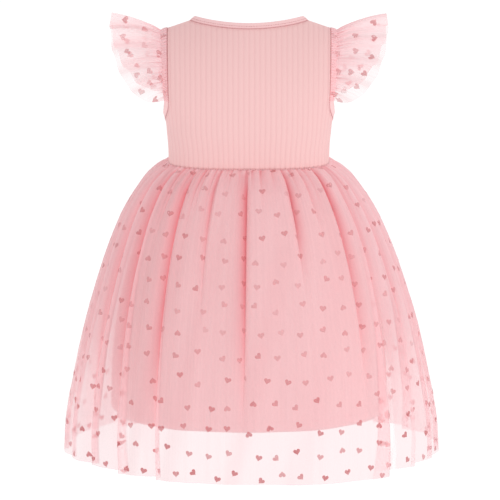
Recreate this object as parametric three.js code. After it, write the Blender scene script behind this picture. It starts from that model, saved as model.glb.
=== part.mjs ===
// A toddler's party dress, filled out as if worn: a bodice of ribbed knit with bound neck and
// armholes, gathered net flutter sleeves, and a gathered net skirt over a shorter plain lining skirt.
// Units are millimetres. +Z is up, -Y is the dress's back and +Y its front.
// The origin is midway between the two shoulder seams, where the wearer's shoulders carry the dress.
import * as THREE from 'three';

// Driving sizes
const SEAM_GAP = 0.3;
const KNIT_THICKNESS = 1.5;
const NET_THICKNESS = 1;
const LINING_THICKNESS = 1;
const WAIST_HEIGHT = -168;
const UNDERARM_HEIGHT = -115;
const SHOULDER_SLOPE = 0.36;
const SHOULDER_MIDDLE_X = 86;
const SHOULDER_BLEND = 25;
const BODICE_SQUARENESS = 2.8;
const NET_HEM_SQUARENESS = 2;
const LINING_HEM_SQUARENESS = 2.35;

// Ribs of the knit, counted across half a panel, from its middle line to its side seam
const HALF_RIB_COLUMNS = 42;
const ARMHOLE_COLUMN = 31;
const NECK_COLUMN = 22;
const RIB_HEIGHT = 0.6;

// Bound edges
const BINDING_WIDTH = 8;
const BINDING_PROUD = 0.4;
const NECK_LEAN = 0.3;

// Colours
const KNIT_COLOUR = 0xf4c3c3;
const BINDING_COLOUR = 0xf4bcbe;
const NET_COLOUR = 0xf3b4b8;
const LINING_COLOUR = 0xf0a9ae;

// The body form under the knit, by height: above the underarm the width runs on past the armhole
const BODICE_SECTIONS = [
  { height: -168, halfWidth: 97, backDepth: 57, frontDepth: 60 },
  { height: -150, halfWidth: 97.5, backDepth: 58, frontDepth: 61 },
  { height: -133, halfWidth: 99.3, backDepth: 60, frontDepth: 63 },
  { height: -115, halfWidth: 101.5, backDepth: 61, frontDepth: 64 },
  { height: -85, halfWidth: 111, backDepth: 62, frontDepth: 65 },
  { height: -50, halfWidth: 117, backDepth: 62, frontDepth: 65 },
  { height: 10, halfWidth: 120, backDepth: 61, frontDepth: 63 },
];

// The net skirt's outline: distance down the cloth, drop below the waist, half sizes, and how far
// the whole section hangs over to the right
const NET_SECTIONS = [
  { along: 0, drop: 0, halfWidth: 97, halfDepth: 57, drift: 0 },
  { along: 7, drop: 1, halfWidth: 103.5, halfDepth: 63.5, drift: 0 },
  { along: 14, drop: 3.5, halfWidth: 109, halfDepth: 69, drift: 0 },
  { along: 25, drop: 10, halfWidth: 118, halfDepth: 78, drift: 0 },
  { along: 42, drop: 22, halfWidth: 130, halfDepth: 90, drift: 0 },
  { along: 72, drop: 47, halfWidth: 147, halfDepth: 107, drift: 0.5 },
  { along: 100, drop: 72, halfWidth: 160, halfDepth: 120, drift: 1 },
  { along: 154, drop: 122, halfWidth: 180, halfDepth: 141, drift: 2 },
  { along: 231, drop: 196, halfWidth: 203, halfDepth: 162, drift: 3 },
  { along: 307, drop: 270, halfWidth: 219, halfDepth: 175, drift: 3 },
  { along: 357, drop: 320, halfWidth: 228, halfDepth: 181, drift: 3 },
  { along: 397, drop: 360, halfWidth: 230, halfDepth: 183, drift: 3 },
];

// The lining skirt's outline, inside the net
const LINING_SECTIONS = [
  { along: 0, drop: 0, halfWidth: 95.8, halfDepth: 55.8, drift: 0 },
  { along: 5, drop: 5, halfWidth: 96.2, halfDepth: 56.2, drift: 0 },
  { along: 35, drop: 30, halfWidth: 111, halfDepth: 71, drift: 0 },
  { along: 100, drop: 90, halfWidth: 135, halfDepth: 98, drift: 0 },
  { along: 173, drop: 160, halfWidth: 155, halfDepth: 124, drift: 0 },
  { along: 225, drop: 210, halfWidth: 164, halfDepth: 139, drift: 0 },
  { along: 275, drop: 260, halfWidth: 168, halfDepth: 148, drift: 0 },
  { along: 318, drop: 303, halfWidth: 168.5, halfDepth: 152, drift: 0 },
];

// The net's creases across the back, left to right. waist and hem are shares of the way from the
// middle (0) to a side seam (-1 or 1); depth is in millimetres; reach is the share of the skirt's
// length over which a crease lasts, and one above 1 reaches the hem. steepSide is the side on which
// the cloth rises at once. hemBefore and hemAfter are how much lower the hem hangs on the crease's
// left and right.
const CREASES = [
  { waist: -1, hem: -1, depth: 7, reach: 1.4, steepSide: 1, hemBefore: -1, hemAfter: -1 },
  { waist: -0.9, hem: -0.84, depth: 8, reach: 1.4, steepSide: 1, hemBefore: -3, hemAfter: -2 },
  { waist: -0.79, hem: -0.69, depth: 6, reach: 0.7, steepSide: 1, hemBefore: -4, hemAfter: -4 },
  { waist: -0.67, hem: -0.535, depth: 11, reach: 1.4, steepSide: 1, hemBefore: -4, hemAfter: -1 },
  { waist: -0.57, hem: -0.46, depth: 5, reach: 0.35, steepSide: 1, hemBefore: -2, hemAfter: -2 },
  { waist: -0.463, hem: -0.372, depth: 9, reach: 1.4, steepSide: 1, hemBefore: -3, hemAfter: 0 },
  { waist: -0.357, hem: -0.3, depth: 4, reach: 0.25, steepSide: 1, hemBefore: 0, hemAfter: 0 },
  { waist: -0.253, hem: -0.21, depth: 7, reach: 0.75, steepSide: 1, hemBefore: 0, hemAfter: 0 },
  { waist: -0.13, hem: -0.125, depth: 4, reach: 0.2, steepSide: 1, hemBefore: 0, hemAfter: 0 },
  { waist: 0, hem: -0.04, depth: 8, reach: 0.65, steepSide: 1, hemBefore: 0, hemAfter: 0 },
  { waist: 0.13, hem: 0.07, depth: 4, reach: 0.22, steepSide: -1, hemBefore: 0, hemAfter: 0 },
  { waist: 0.3, hem: 0.22, depth: 9, reach: 0.42, steepSide: -1, hemBefore: 2, hemAfter: 2 },
  { waist: 0.44, hem: 0.34, depth: 5, reach: 0.25, steepSide: -1, hemBefore: 3, hemAfter: 3 },
  { waist: 0.6, hem: 0.575, depth: 10, reach: 1.4, steepSide: -1, hemBefore: 4, hemAfter: -5 },
  { waist: 0.74, hem: 0.7, depth: 7, reach: 1.4, steepSide: -1, hemBefore: 0, hemAfter: -4 },
  { waist: 0.88, hem: 0.84, depth: 7, reach: 1.4, steepSide: -1, hemBefore: -1, hemAfter: -2 },
  { waist: 1, hem: 1, depth: 6, reach: 1.4, steepSide: -1, hemBefore: 0, hemAfter: 0 },
];
const FRONT_CREASE_SHIFT = 0.03;
const FRONT_CREASE_SCALE = 0.9;
const STEEP_STEPS = [0.1, 0.3];
const SOFT_STEPS = [0.17, 0.41];
const STEEP_REACH = 0.3;
const SOFT_REACH = 0.58;
const CREASE_GROWTH = 60;
const CREASE_START = 0.25;
const CREASE_FADE = 0.3;
const HEM_LEVEL_START = 0.55;
const NET_ROWS = [0, 9, 26, 56, 100, 160, 235, 315, 397];

// The lining's shallow waves
const LINING_WAVES = 6;
const LINING_WAVE_DEPTH = 3;
const LINING_COLUMNS = 28;
const LINING_ROWS = [0, 5, 60, 140, 225, 318];

// Flutter sleeves: a crescent of net gathered along the armhole binding
const FLUTTER = {
  width: 63,
  endWidth: 3,
  riseDegrees: 17,
  fallDegrees: 45,
  springDegrees: 13,
  flare: 0.3,
  waves: 9,
  waveDepth: 5,
  columns: 45,
  rows: 4,
};

const BACK = { name: 'back', side: -1, depth: 'backDepth' };
const FRONT = { name: 'front', side: 1, depth: 'frontDepth' };

/** Smooth values between a table's rows: returns a function from the key column to all columns. */
function smoothTable(table, key) {
  const names = Object.keys(table[0]);
  const slope = (row, name) => {
    const before = table[Math.max(row - 1, 0)];
    const after = table[Math.min(row + 1, table.length - 1)];
    return (after[name] - before[name]) / (after[key] - before[key]);
  };
  return (wanted) => {
    const at = THREE.MathUtils.clamp(wanted, table[0][key], table.at(-1)[key]);
    const row = Math.max(table.findLastIndex((entry) => entry[key] <= at && entry !== table.at(-1)), 0);
    const span = table[row + 1][key] - table[row][key];
    const t = (at - table[row][key]) / span;
    const values = {};
    for (const name of names) {
      values[name] = (2 * t ** 3 - 3 * t ** 2 + 1) * table[row][name]
        + (t ** 3 - 2 * t ** 2 + t) * span * slope(row, name)
        + (3 * t ** 2 - 2 * t ** 3) * table[row + 1][name]
        + (t ** 3 - t ** 2) * span * slope(row + 1, name);
    }
    return values;
  };
}

/** A quarter of a rounded section, from its middle line to its side, with the arc length so far. */
function quarterSection(halfWidth, halfDepth, squareness) {
  const steps = 60;
  const points = [{ x: 0, depth: halfDepth, length: 0 }];
  for (let step = 1; step <= steps; step += 1) {
    const angle = (Math.PI / 2) * (step / steps);
    const reach = ((Math.cos(angle) / halfDepth) ** squareness
      + (Math.sin(angle) / halfWidth) ** squareness) ** (-1 / squareness);
    const x = reach * Math.sin(angle);
    const depth = step === steps ? 0 : reach * Math.cos(angle);
    const last = points.at(-1);
    points.push({ x, depth, length: last.length + Math.hypot(x - last.x, depth - last.depth) });
  }
  return points;
}

/** The point at a signed arc length from the middle line of a section. */
function alongSection(quarter, length) {
  const wanted = Math.min(Math.abs(length), quarter.at(-1).length);
  const next = Math.max(quarter.findIndex((point) => point.length >= wanted), 1);
  const from = quarter[next - 1];
  const to = quarter[next];
  const t = (wanted - from.length) / (to.length - from.length);
  return {
    x: Math.sign(length) * THREE.MathUtils.lerp(from.x, to.x, t),
    depth: THREE.MathUtils.lerp(from.depth, to.depth, t),
  };
}

/** A panel ends half a seam gap short of the plane through the side and shoulder seams. */
function behindSeam(face, depth) {
  return face.side * Math.max(depth, SEAM_GAP / 2);
}

/** The unit normal of a surface given by two numbers, pointing out of the garment. */
function outwardNormal(surface, u, v, stepU, stepV) {
  const across = surface(u + stepU, v).sub(surface(u - stepU, v));
  const down = surface(u, v + stepV).sub(surface(u, v - stepV));
  return across.cross(down).normalize();
}

/** Turns a normal round where it points into the garment, seen from a point inside. */
function awayFrom(normal, point, inside) {
  return normal.dot(point.clone().sub(inside)) < 0 ? normal.negate() : normal;
}

/** A closed wall from a grid of outer and inner points; hasCell leaves out cells of the grid. */
function clothWall({ columns, rows, outer, inner, hasCell = () => true, ring = false }) {
  const positions = [];
  const indices = [];
  const known = new Map();
  const vertex = (layer, column, row) => {
    const wrapped = ring ? column % columns : column;
    const key = `${layer === outer ? 'outer' : 'inner'} ${wrapped} ${row}`;
    if (!known.has(key)) {
      known.set(key, positions.length / 3);
      positions.push(...layer(wrapped, row).toArray());
    }
    return known.get(key);
  };
  const quad = (a, b, c, d) => indices.push(a, b, c, a, c, d);
  const cell = (column, row) => {
    const wrapped = ring ? (column + columns) % columns : column;
    return wrapped >= 0 && wrapped < columns && row >= 0 && row < rows && hasCell(wrapped, row);
  };
  const rim = (fromColumn, fromRow, toColumn, toRow) => quad(
    vertex(outer, toColumn, toRow),
    vertex(outer, fromColumn, fromRow),
    vertex(inner, fromColumn, fromRow),
    vertex(inner, toColumn, toRow),
  );
  for (let column = 0; column < columns; column += 1) {
    for (let row = 0; row < rows; row += 1) {
      if (!cell(column, row)) continue;
      const corners = [[column, row], [column + 1, row], [column + 1, row + 1], [column, row + 1]];
      quad(...corners.map(([c, r]) => vertex(outer, c, r)));
      quad(...corners.map(([c, r]) => vertex(inner, c, r)).reverse());
      if (!cell(column, row - 1)) rim(column, row, column + 1, row);
      if (!cell(column + 1, row)) rim(column + 1, row, column + 1, row + 1);
      if (!cell(column, row + 1)) rim(column + 1, row + 1, column, row + 1);
      if (!cell(column - 1, row)) rim(column, row + 1, column, row);
    }
  }
  const geometry = new THREE.BufferGeometry();
  geometry.setAttribute('position', new THREE.Float32BufferAttribute(positions, 3));
  geometry.setIndex(indices);
  facesOutward(geometry);
  return geometry.toNonIndexed();
}

/** Turns every face round if the closed geometry is inside out. */
function facesOutward(geometry) {
  const position = geometry.getAttribute('position');
  const index = geometry.getIndex();
  const [a, b, c] = [new THREE.Vector3(), new THREE.Vector3(), new THREE.Vector3()];
  let volume = 0;
  for (let face = 0; face < index.count; face += 3) {
    a.fromBufferAttribute(position, index.getX(face));
    b.fromBufferAttribute(position, index.getX(face + 1));
    c.fromBufferAttribute(position, index.getX(face + 2));
    volume += a.dot(b.cross(c));
  }
  if (volume < 0) index.array.reverse();
}

/** A named mesh of one cloth. */
function clothPiece(name, geometry, colour, roughness) {
  geometry.computeVertexNormals();
  const material = new THREE.MeshStandardMaterial({ color: colour, roughness, metalness: 0 });
  const mesh = new THREE.Mesh(geometry, material);
  mesh.name = name;
  return mesh;
}

const bodiceSection = smoothTable(BODICE_SECTIONS, 'height');
const CHEST = bodiceSection(UNDERARM_HEIGHT);
const CHEST_QUARTER = quarterSection(CHEST.halfWidth, CHEST.backDepth, BODICE_SQUARENESS).at(-1).length;
const RIB_COLUMN_WIDTH = CHEST_QUARTER / HALF_RIB_COLUMNS;

/** The height of the shoulder seam's ridge over x, which runs on rounded across the neck opening. */
function shoulderHeight(x) {
  return SHOULDER_SLOPE * (Math.hypot(SHOULDER_MIDDLE_X, SHOULDER_BLEND) - Math.hypot(x, SHOULDER_BLEND));
}

/** How far the body's depth has grown below the shoulder ridge, from 0 at the ridge to 1. */
function shoulderRounding(x, height) {
  const ridge = shoulderHeight(x);
  const share = THREE.MathUtils.clamp((ridge - height) / (ridge - UNDERARM_HEIGHT), 0, 1);
  return (1 - (1 - share) ** 2.5) ** (1 / 1.5);
}

/** The knit's smooth surface: column counts half ribs from the panel's middle line. */
function bodiceSurface(face, column, height) {
  const section = bodiceSection(height);
  const quarter = quarterSection(section.halfWidth, section[face.depth], BODICE_SQUARENESS);
  const length = height >= UNDERARM_HEIGHT
    ? column * RIB_COLUMN_WIDTH
    : (column / HALF_RIB_COLUMNS) * quarter.at(-1).length;
  const point = alongSection(quarter, length);
  const depth = point.depth * shoulderRounding(point.x, height);
  return new THREE.Vector3(point.x, behindSeam(face, depth), height);
}

const NECK_HALF_WIDTH = alongSection(
  quarterSection(120, BODICE_SECTIONS.at(-1).backDepth, BODICE_SQUARENESS),
  NECK_COLUMN * RIB_COLUMN_WIDTH,
).x;
const NECK_SIDE_HEIGHT = shoulderHeight(NECK_HALF_WIDTH);
const BACK_NECK_DROP = 5.5;
const FRONT_NECK_DROP = 47;
const ARMHOLE_CORNER_HEIGHT = -88;

/** The height of the panel's neckline over a column. */
function necklineHeight(face, column) {
  const share = Math.min(Math.abs(column) / NECK_COLUMN, 1);
  const dip = face === BACK
    ? BACK_NECK_DROP * (1 - share ** 2)
    : FRONT_NECK_DROP * (1 - share ** 2) ** 0.6;
  return NECK_SIDE_HEIGHT - dip;
}

/** The top of the lower rows: level under the yoke, then the underarm curve out to the side seam. */
function lowerTopHeight(column) {
  const share = (Math.abs(column) - ARMHOLE_COLUMN) / (HALF_RIB_COLUMNS - ARMHOLE_COLUMN);
  if (share <= 0) return ARMHOLE_CORNER_HEIGHT;
  const drop = ARMHOLE_CORNER_HEIGHT - UNDERARM_HEIGHT;
  return ARMHOLE_CORNER_HEIGHT - drop * Math.sqrt(1 - (1 - share) ** 2);
}

/** The top of a yoke column: the neckline, or the shoulder seam. */
function yokeTopHeight(face, column) {
  if (Math.abs(column) <= NECK_COLUMN) return necklineHeight(face, column);
  const section = bodiceSection(0);
  const quarter = quarterSection(section.halfWidth, section[face.depth], BODICE_SQUARENESS);
  return shoulderHeight(alongSection(quarter, column * RIB_COLUMN_WIDTH).x);
}

const LOWER_ROWS = [0, 0.24, 0.56, 1];
const YOKE_ROWS = [0.38, 0.68, 0.88, 0.975, 1];
const BODICE_ROW_COUNT = LOWER_ROWS.length + YOKE_ROWS.length - 1;

/** The height of a grid row on a panel column. */
function bodiceRowHeight(face, column, row) {
  const lowerTop = lowerTopHeight(column);
  if (row < LOWER_ROWS.length) {
    return THREE.MathUtils.lerp(WAIST_HEIGHT, lowerTop, LOWER_ROWS[row]);
  }
  const share = YOKE_ROWS[row - LOWER_ROWS.length];
  return THREE.MathUtils.lerp(lowerTop, yokeTopHeight(face, column), share);
}

/** A grid point of a panel with its outward normal. */
function bodiceFrame(face, column, row) {
  const height = bodiceRowHeight(face, column, row);
  const surface = (u, v) => bodiceSurface(face, u, v);
  const point = surface(column, height);
  const inside = new THREE.Vector3(0, 0, height - 20);
  const sampled = Math.min(height, shoulderHeight(point.x) - 0.8);
  const normal = awayFrom(outwardNormal(surface, column, sampled, 0.4, 0.6), point, inside);
  return { point, normal };
}

/** Moves a point along its normal, but never across the seam plane of its own panel. */
function offsetOnPanel(face, { point, normal }, distance) {
  const moved = point.clone().addScaledVector(normal, distance);
  moved.y = behindSeam(face, face.side * moved.y);
  return moved;
}

/** The back or front of the bodice: ribs stand out of the outer side, and the inside is plain. */
function makeBodicePanel(face) {
  const columns = 2 * HALF_RIB_COLUMNS;
  const frame = (column, row) => bodiceFrame(face, column - HALF_RIB_COLUMNS, row);
  const geometry = clothWall({
    columns,
    rows: BODICE_ROW_COUNT,
    hasCell: (column, row) => row < LOWER_ROWS.length - 1
      || Math.abs(column + 0.5 - HALF_RIB_COLUMNS) < ARMHOLE_COLUMN,
    outer: (column, row) => offsetOnPanel(face, frame(column, row), column % 2 ? RIB_HEIGHT : 0),
    inner: (column, row) => offsetOnPanel(face, frame(column, row), -KNIT_THICKNESS),
  });
  return clothPiece(`bodice_${face.name}`, geometry, KNIT_COLOUR, 0.9);
}

/** A closed row of panel edge points, each with the panel's normal, the edge's own direction and
 * the direction in which the cloth would run on past the edge, towards the opening's centre. */
function edgeRing(frames, centre) {
  return frames.map(({ point, normal }, index) => {
    const before = frames.at(index - 1).point;
    const after = frames[(index + 1) % frames.length].point;
    const run = after.clone().sub(before).normalize();
    const onward = run.cross(normal).normalize();
    if (onward.dot(centre.clone().sub(point)) < 0) onward.negate();
    return { point, normal, onward };
  });
}

/** Both panels' frames at a shared seam point, as one frame on the seam plane. */
function seamFrame(column, row) {
  const { point, normal } = bodiceFrame(BACK, column, row);
  return {
    point: new THREE.Vector3(point.x, 0, point.z),
    normal: new THREE.Vector3(normal.x, 0, normal.z).normalize(),
  };
}

/** The armhole's edge, from the shoulder down the back, under the arm and up the front. */
function armholeRing(side) {
  const spots = [];
  for (let row = BODICE_ROW_COUNT - 1; row >= LOWER_ROWS.length - 1; row -= 1) {
    spots.push({ column: side * ARMHOLE_COLUMN, row });
  }
  for (let column = ARMHOLE_COLUMN + 1; column < HALF_RIB_COLUMNS; column += 1) {
    spots.push({ column: side * column, row: LOWER_ROWS.length - 1 });
  }
  const back = spots.map(({ column, row }) => bodiceFrame(BACK, column, row));
  const front = spots.map(({ column, row }) => bodiceFrame(FRONT, column, row)).reverse();
  const shoulder = seamFrame(side * ARMHOLE_COLUMN, BODICE_ROW_COUNT);
  const underarm = seamFrame(side * HALF_RIB_COLUMNS, LOWER_ROWS.length - 1);
  const centre = new THREE.Vector3(side * 104, 0, -60);
  return edgeRing([shoulder, ...back, underarm, ...front], centre);
}

/** The neckline's edge, round the back and then the front; it leans up over the shoulders. */
function neckRing() {
  const frames = [];
  for (const face of [BACK, FRONT]) {
    const from = face === BACK ? -NECK_COLUMN : NECK_COLUMN;
    frames.push(seamFrame(from, BODICE_ROW_COUNT));
    for (let step = 2; step < 2 * NECK_COLUMN; step += 2) {
      frames.push(bodiceFrame(face, from - Math.sign(from) * step, BODICE_ROW_COUNT));
    }
  }
  const ring = edgeRing(frames, new THREE.Vector3(0, 0, 10));
  for (const spot of ring) {
    const lean = NECK_LEAN * (spot.point.x / NECK_HALF_WIDTH) ** 2;
    const flat = spot.onward.clone();
    spot.onward.addScaledVector(spot.normal, lean).normalize();
    spot.normal.addScaledVector(flat, -lean).normalize();
  }
  return ring;
}

/** A point of a bound edge: how far past the panel's edge, and how far out of its surface. */
function bindingPoint({ point, normal, onward }, across, out) {
  return point.clone().addScaledVector(onward, across).addScaledVector(normal, out);
}

/** A folded strip of knit round an opening. */
function makeBinding(name, ring) {
  const across = [SEAM_GAP + 0.1, SEAM_GAP + BINDING_WIDTH];
  const geometry = clothWall({
    columns: ring.length,
    rows: 1,
    ring: true,
    outer: (column, row) => bindingPoint(ring[column], across[row], BINDING_PROUD),
    inner: (column, row) => bindingPoint(ring[column], across[row], -KNIT_THICKNESS),
  });
  return clothPiece(name, geometry, BINDING_COLOUR, 0.85);
}

/** The armhole binding's outer edge that carries the sleeve, from the back over the shoulder. */
function flutterBase(side) {
  const ring = armholeRing(side);
  const reach = BODICE_ROW_COUNT - LOWER_ROWS.length + 1;
  const spots = [];
  for (let index = reach; index >= -reach; index -= 1) spots.push(ring.at(index));
  const base = [];
  let length = 0;
  for (const spot of spots) {
    const point = bindingPoint(spot, BINDING_WIDTH + 2 * SEAM_GAP, 0);
    if (base.length) length += point.distanceTo(base.at(-1).point);
    base.push({ ...spot, point, length });
  }
  return base;
}

/** The direction in which the flutter sleeve fans out, at an angle above the horizontal. */
function flutterDirection(side, place, degrees) {
  const angle = THREE.MathUtils.degToRad(degrees);
  return new THREE.Vector3(side * Math.cos(angle), FLUTTER.flare * place, Math.sin(angle)).normalize();
}

/** A point of the flutter sleeve: place runs from -1 at the back to 1 at the front, and share
 * from 0 at the armhole to 1 at the free edge. */
function flutterSurface(side, base, place, share) {
  const wanted = THREE.MathUtils.clamp((place + 1) / 2, 0, 1) * base.at(-1).length;
  const next = Math.max(base.findIndex((spot) => spot.length >= wanted - 1e-9), 1);
  const [from, to] = [base[next - 1], base[next]];
  const t = (wanted - from.length) / (to.length - from.length);
  const start = from.point.clone().lerp(to.point, t);
  const near = 1 - Math.min(Math.abs(place), 1) ** 2.1;
  const width = Math.max(FLUTTER.width * near ** (1 / 1.6), FLUTTER.endWidth);
  const degrees = FLUTTER.riseDegrees - FLUTTER.fallDegrees * Math.abs(place) ** 1.15;
  const fan = flutterDirection(side, place, degrees);
  const spring = flutterDirection(side, place, degrees + FLUTTER.springDegrees);
  const point = start.clone()
    .addScaledVector(spring, share * (1 - share) * width)
    .addScaledVector(fan, share ** 2 * width);
  const fold = Math.cos(Math.PI * FLUTTER.waves * (place + 1) + (side > 0 ? 0.6 : 2.7));
  const depth = FLUTTER.waveDepth * share ** 1.3 * Math.sqrt(width / FLUTTER.width);
  const seam = to.point.clone().sub(from.point).normalize();
  const across = seam.cross(fan).normalize();
  return point.addScaledVector(across, fold * depth);
}

/** A flutter sleeve. */
function makeFlutter(name, side) {
  const base = flutterBase(side);
  const surface = (place, share) => flutterSurface(side, base, place, share);
  const point = (column, row) => surface(2 * (column / FLUTTER.columns) - 1, row / FLUTTER.rows);
  const inside = new THREE.Vector3(side * 120, 0, -70);
  const inner = (column, row) => {
    const [place, share] = [2 * (column / FLUTTER.columns) - 1, row / FLUTTER.rows];
    const normal = outwardNormal(
      surface,
      THREE.MathUtils.clamp(place, -0.98, 0.98),
      THREE.MathUtils.clamp(share, 0.05, 0.95),
      0.01,
      0.04,
    );
    const at = point(column, row);
    return at.clone().addScaledVector(awayFrom(normal, at, inside), -NET_THICKNESS);
  };
  const geometry = clothWall({ columns: FLUTTER.columns, rows: FLUTTER.rows, outer: point, inner });
  return clothPiece(name, geometry, NET_COLOUR, 0.75);
}

/** A skirt layer's smooth surface: share runs from -1 to 1 between a panel's side seams. */
function skirtSurface({ profile, length, hemSquareness }, face, share, along) {
  const section = profile(along);
  const settled = Math.min(along / length, 1);
  const squareness = THREE.MathUtils.lerp(BODICE_SQUARENESS, hemSquareness, Math.sqrt(settled));
  const quarter = quarterSection(section.halfWidth, section.halfDepth, squareness);
  const point = alongSection(quarter, share * quarter.at(-1).length);
  const height = WAIST_HEIGHT - SEAM_GAP - section.drop;
  return new THREE.Vector3(point.x + section.drift, behindSeam(face, point.depth), height);
}

/** A skirt layer: its outline by distance down the cloth, its length and its hem's squareness. */
function skirtLayer(sections, hemSquareness) {
  return { profile: smoothTable(sections, 'along'), length: sections.at(-1).along, hemSquareness };
}

/** The creases of one face of the net skirt, in order of share: the front's mirror the back's. */
function creasesOf(face) {
  if (face === BACK) return CREASES;
  return CREASES.toReversed().map((crease) => {
    const shift = FRONT_CREASE_SHIFT * (1 - crease.waist ** 2);
    return {
      waist: shift - crease.waist,
      hem: shift - crease.hem,
      depth: Math.abs(crease.waist) === 1 ? crease.depth : FRONT_CREASE_SCALE * crease.depth,
      reach: crease.reach,
      steepSide: -crease.steepSide,
      hemBefore: crease.hemAfter,
      hemAfter: crease.hemBefore,
    };
  });
}

/** The shares at which the cloth between two creases has a column. */
function columnSteps(from, to) {
  const after = from.steepSide > 0 ? STEEP_STEPS : SOFT_STEPS;
  const before = to.steepSide < 0 ? STEEP_STEPS : SOFT_STEPS;
  return [0, ...after, ...before.map((step) => 1 - step).toReversed()];
}

/** How much of each neighbouring crease's depth is left at a share of the way between them. */
function creaseWeights(from, to, step) {
  const fromReach = from.steepSide > 0 ? STEEP_REACH : SOFT_REACH;
  const toReach = to.steepSide < 0 ? STEEP_REACH : SOFT_REACH;
  return [Math.max(1 - step / fromReach, 0) ** 2, Math.max(1 - (1 - step) / toReach, 0) ** 2];
}

/** How deep a crease is at a distance down the cloth. */
function creaseDepth(crease, along, length) {
  const growth = THREE.MathUtils.smoothstep(along, 0, CREASE_GROWTH);
  const start = CREASE_START * THREE.MathUtils.smoothstep(along, 0, CREASE_GROWTH / 6);
  const fade = THREE.MathUtils.smoothstep(along / length, crease.reach - CREASE_FADE, crease.reach);
  return crease.depth * Math.max(growth, start) * (1 - fade);
}

/** The net at a share of the way between two creases, and at a distance down the cloth. */
function netFrame(layer, face, from, to, step, along) {
  const atWaist = THREE.MathUtils.lerp(from.waist, to.waist, step);
  const atHem = THREE.MathUtils.lerp(from.hem, to.hem, step);
  const share = THREE.MathUtils.lerp(atWaist, atHem, Math.sqrt(along / layer.length));
  const surface = (u, v) => skirtSurface(layer, face, u, v);
  const point = surface(share, along);
  const sampled = THREE.MathUtils.clamp(along, 1.5, layer.length - 1.5);
  const inside = new THREE.Vector3(0, 0, point.z - 60);
  const normal = awayFrom(outwardNormal(surface, share, sampled, 0.004, 1.5), point, inside);
  const [fromWeight, toWeight] = creaseWeights(from, to, step);
  const inward = creaseDepth(from, along, layer.length) * fromWeight
    + creaseDepth(to, along, layer.length) * toWeight;
  const level = step === 0 ? from.hemBefore : THREE.MathUtils.lerp(from.hemAfter, to.hemBefore, step);
  point.z -= level * THREE.MathUtils.smoothstep(along / layer.length, HEM_LEVEL_START, 1);
  return { point: offsetOnPanel(face, { point, normal }, -inward), normal };
}

/** The back or front of the gathered net skirt. */
function makeNetPanel(face) {
  const layer = skirtLayer(NET_SECTIONS, NET_HEM_SQUARENESS);
  const creases = creasesOf(face);
  const spots = creases.slice(1).flatMap((to, index) => {
    const from = creases[index];
    return columnSteps(from, to).map((step) => ({ from, to, step }));
  });
  spots.push({ from: creases.at(-2), to: creases.at(-1), step: 1 });
  const frame = (column, row) => {
    const { from, to, step } = spots[column];
    return netFrame(layer, face, from, to, step, NET_ROWS[row]);
  };
  const geometry = clothWall({
    columns: spots.length - 1,
    rows: NET_ROWS.length - 1,
    outer: (column, row) => frame(column, row).point,
    inner: (column, row) => offsetOnPanel(face, frame(column, row), -NET_THICKNESS),
  });
  return clothPiece(`skirt_net_${face.name}`, geometry, NET_COLOUR, 0.75);
}

/** The back or front of the plain lining skirt. */
function makeLiningPanel(face) {
  const layer = skirtLayer(LINING_SECTIONS, LINING_HEM_SQUARENESS);
  const frame = (column, row) => {
    const share = (2 * column) / LINING_COLUMNS - 1;
    const along = LINING_ROWS[row];
    const surface = (u, v) => skirtSurface(layer, face, u, v);
    const point = surface(share, along);
    const sampled = THREE.MathUtils.clamp(along, 1, layer.length - 1);
    const inside = new THREE.Vector3(0, 0, point.z - 10);
    const normal = awayFrom(outwardNormal(surface, share, sampled, 0.01, 1), point, inside);
    const wave = (1 - Math.cos(Math.PI * LINING_WAVES * (share + 1))) / 2;
    const inward = LINING_WAVE_DEPTH * wave * THREE.MathUtils.smoothstep(along, 0, layer.length / 2);
    return { point: offsetOnPanel(face, { point, normal }, -inward), normal };
  };
  const geometry = clothWall({
    columns: LINING_COLUMNS,
    rows: LINING_ROWS.length - 1,
    outer: (column, row) => frame(column, row).point,
    inner: (column, row) => offsetOnPanel(face, frame(column, row), -LINING_THICKNESS),
  });
  return clothPiece(`skirt_lining_${face.name}`, geometry, LINING_COLOUR, 0.6);
}

/** The whole dress. */
function makeDress() {
  const dress = new THREE.Group();
  for (const face of [BACK, FRONT]) {
    dress.add(makeBodicePanel(face), makeNetPanel(face), makeLiningPanel(face));
  }
  dress.add(makeBinding('neck_binding', neckRing()));
  for (const [name, side] of [['left', -1], ['right', 1]]) {
    dress.add(makeBinding(`armhole_binding_${name}`, armholeRing(side)));
    dress.add(makeFlutter(`sleeve_flutter_${name}`, side));
  }
  return dress;
}

export default makeDress();
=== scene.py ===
"""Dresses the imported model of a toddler's party dress, filled out as if worn.

The dress has a ribbed knit bodice with bound neck and armholes, flutter sleeves of gathered net, and a
gathered net skirt scattered with hearts over a shorter plain lining skirt. Shapes are worked out in
millimetres, in the model's own frame, and become metres when a mesh is made. +Z is up, -Y is the back.
"""

import logging
import math
from collections.abc import Callable, Sequence
from dataclasses import dataclass, field, replace
from enum import Enum

import bmesh
import bpy
import numpy as np
from bpy.types import ID, Material, Mesh, Node, NodeSocket, Object
from mathutils import Matrix, Vector


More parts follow.
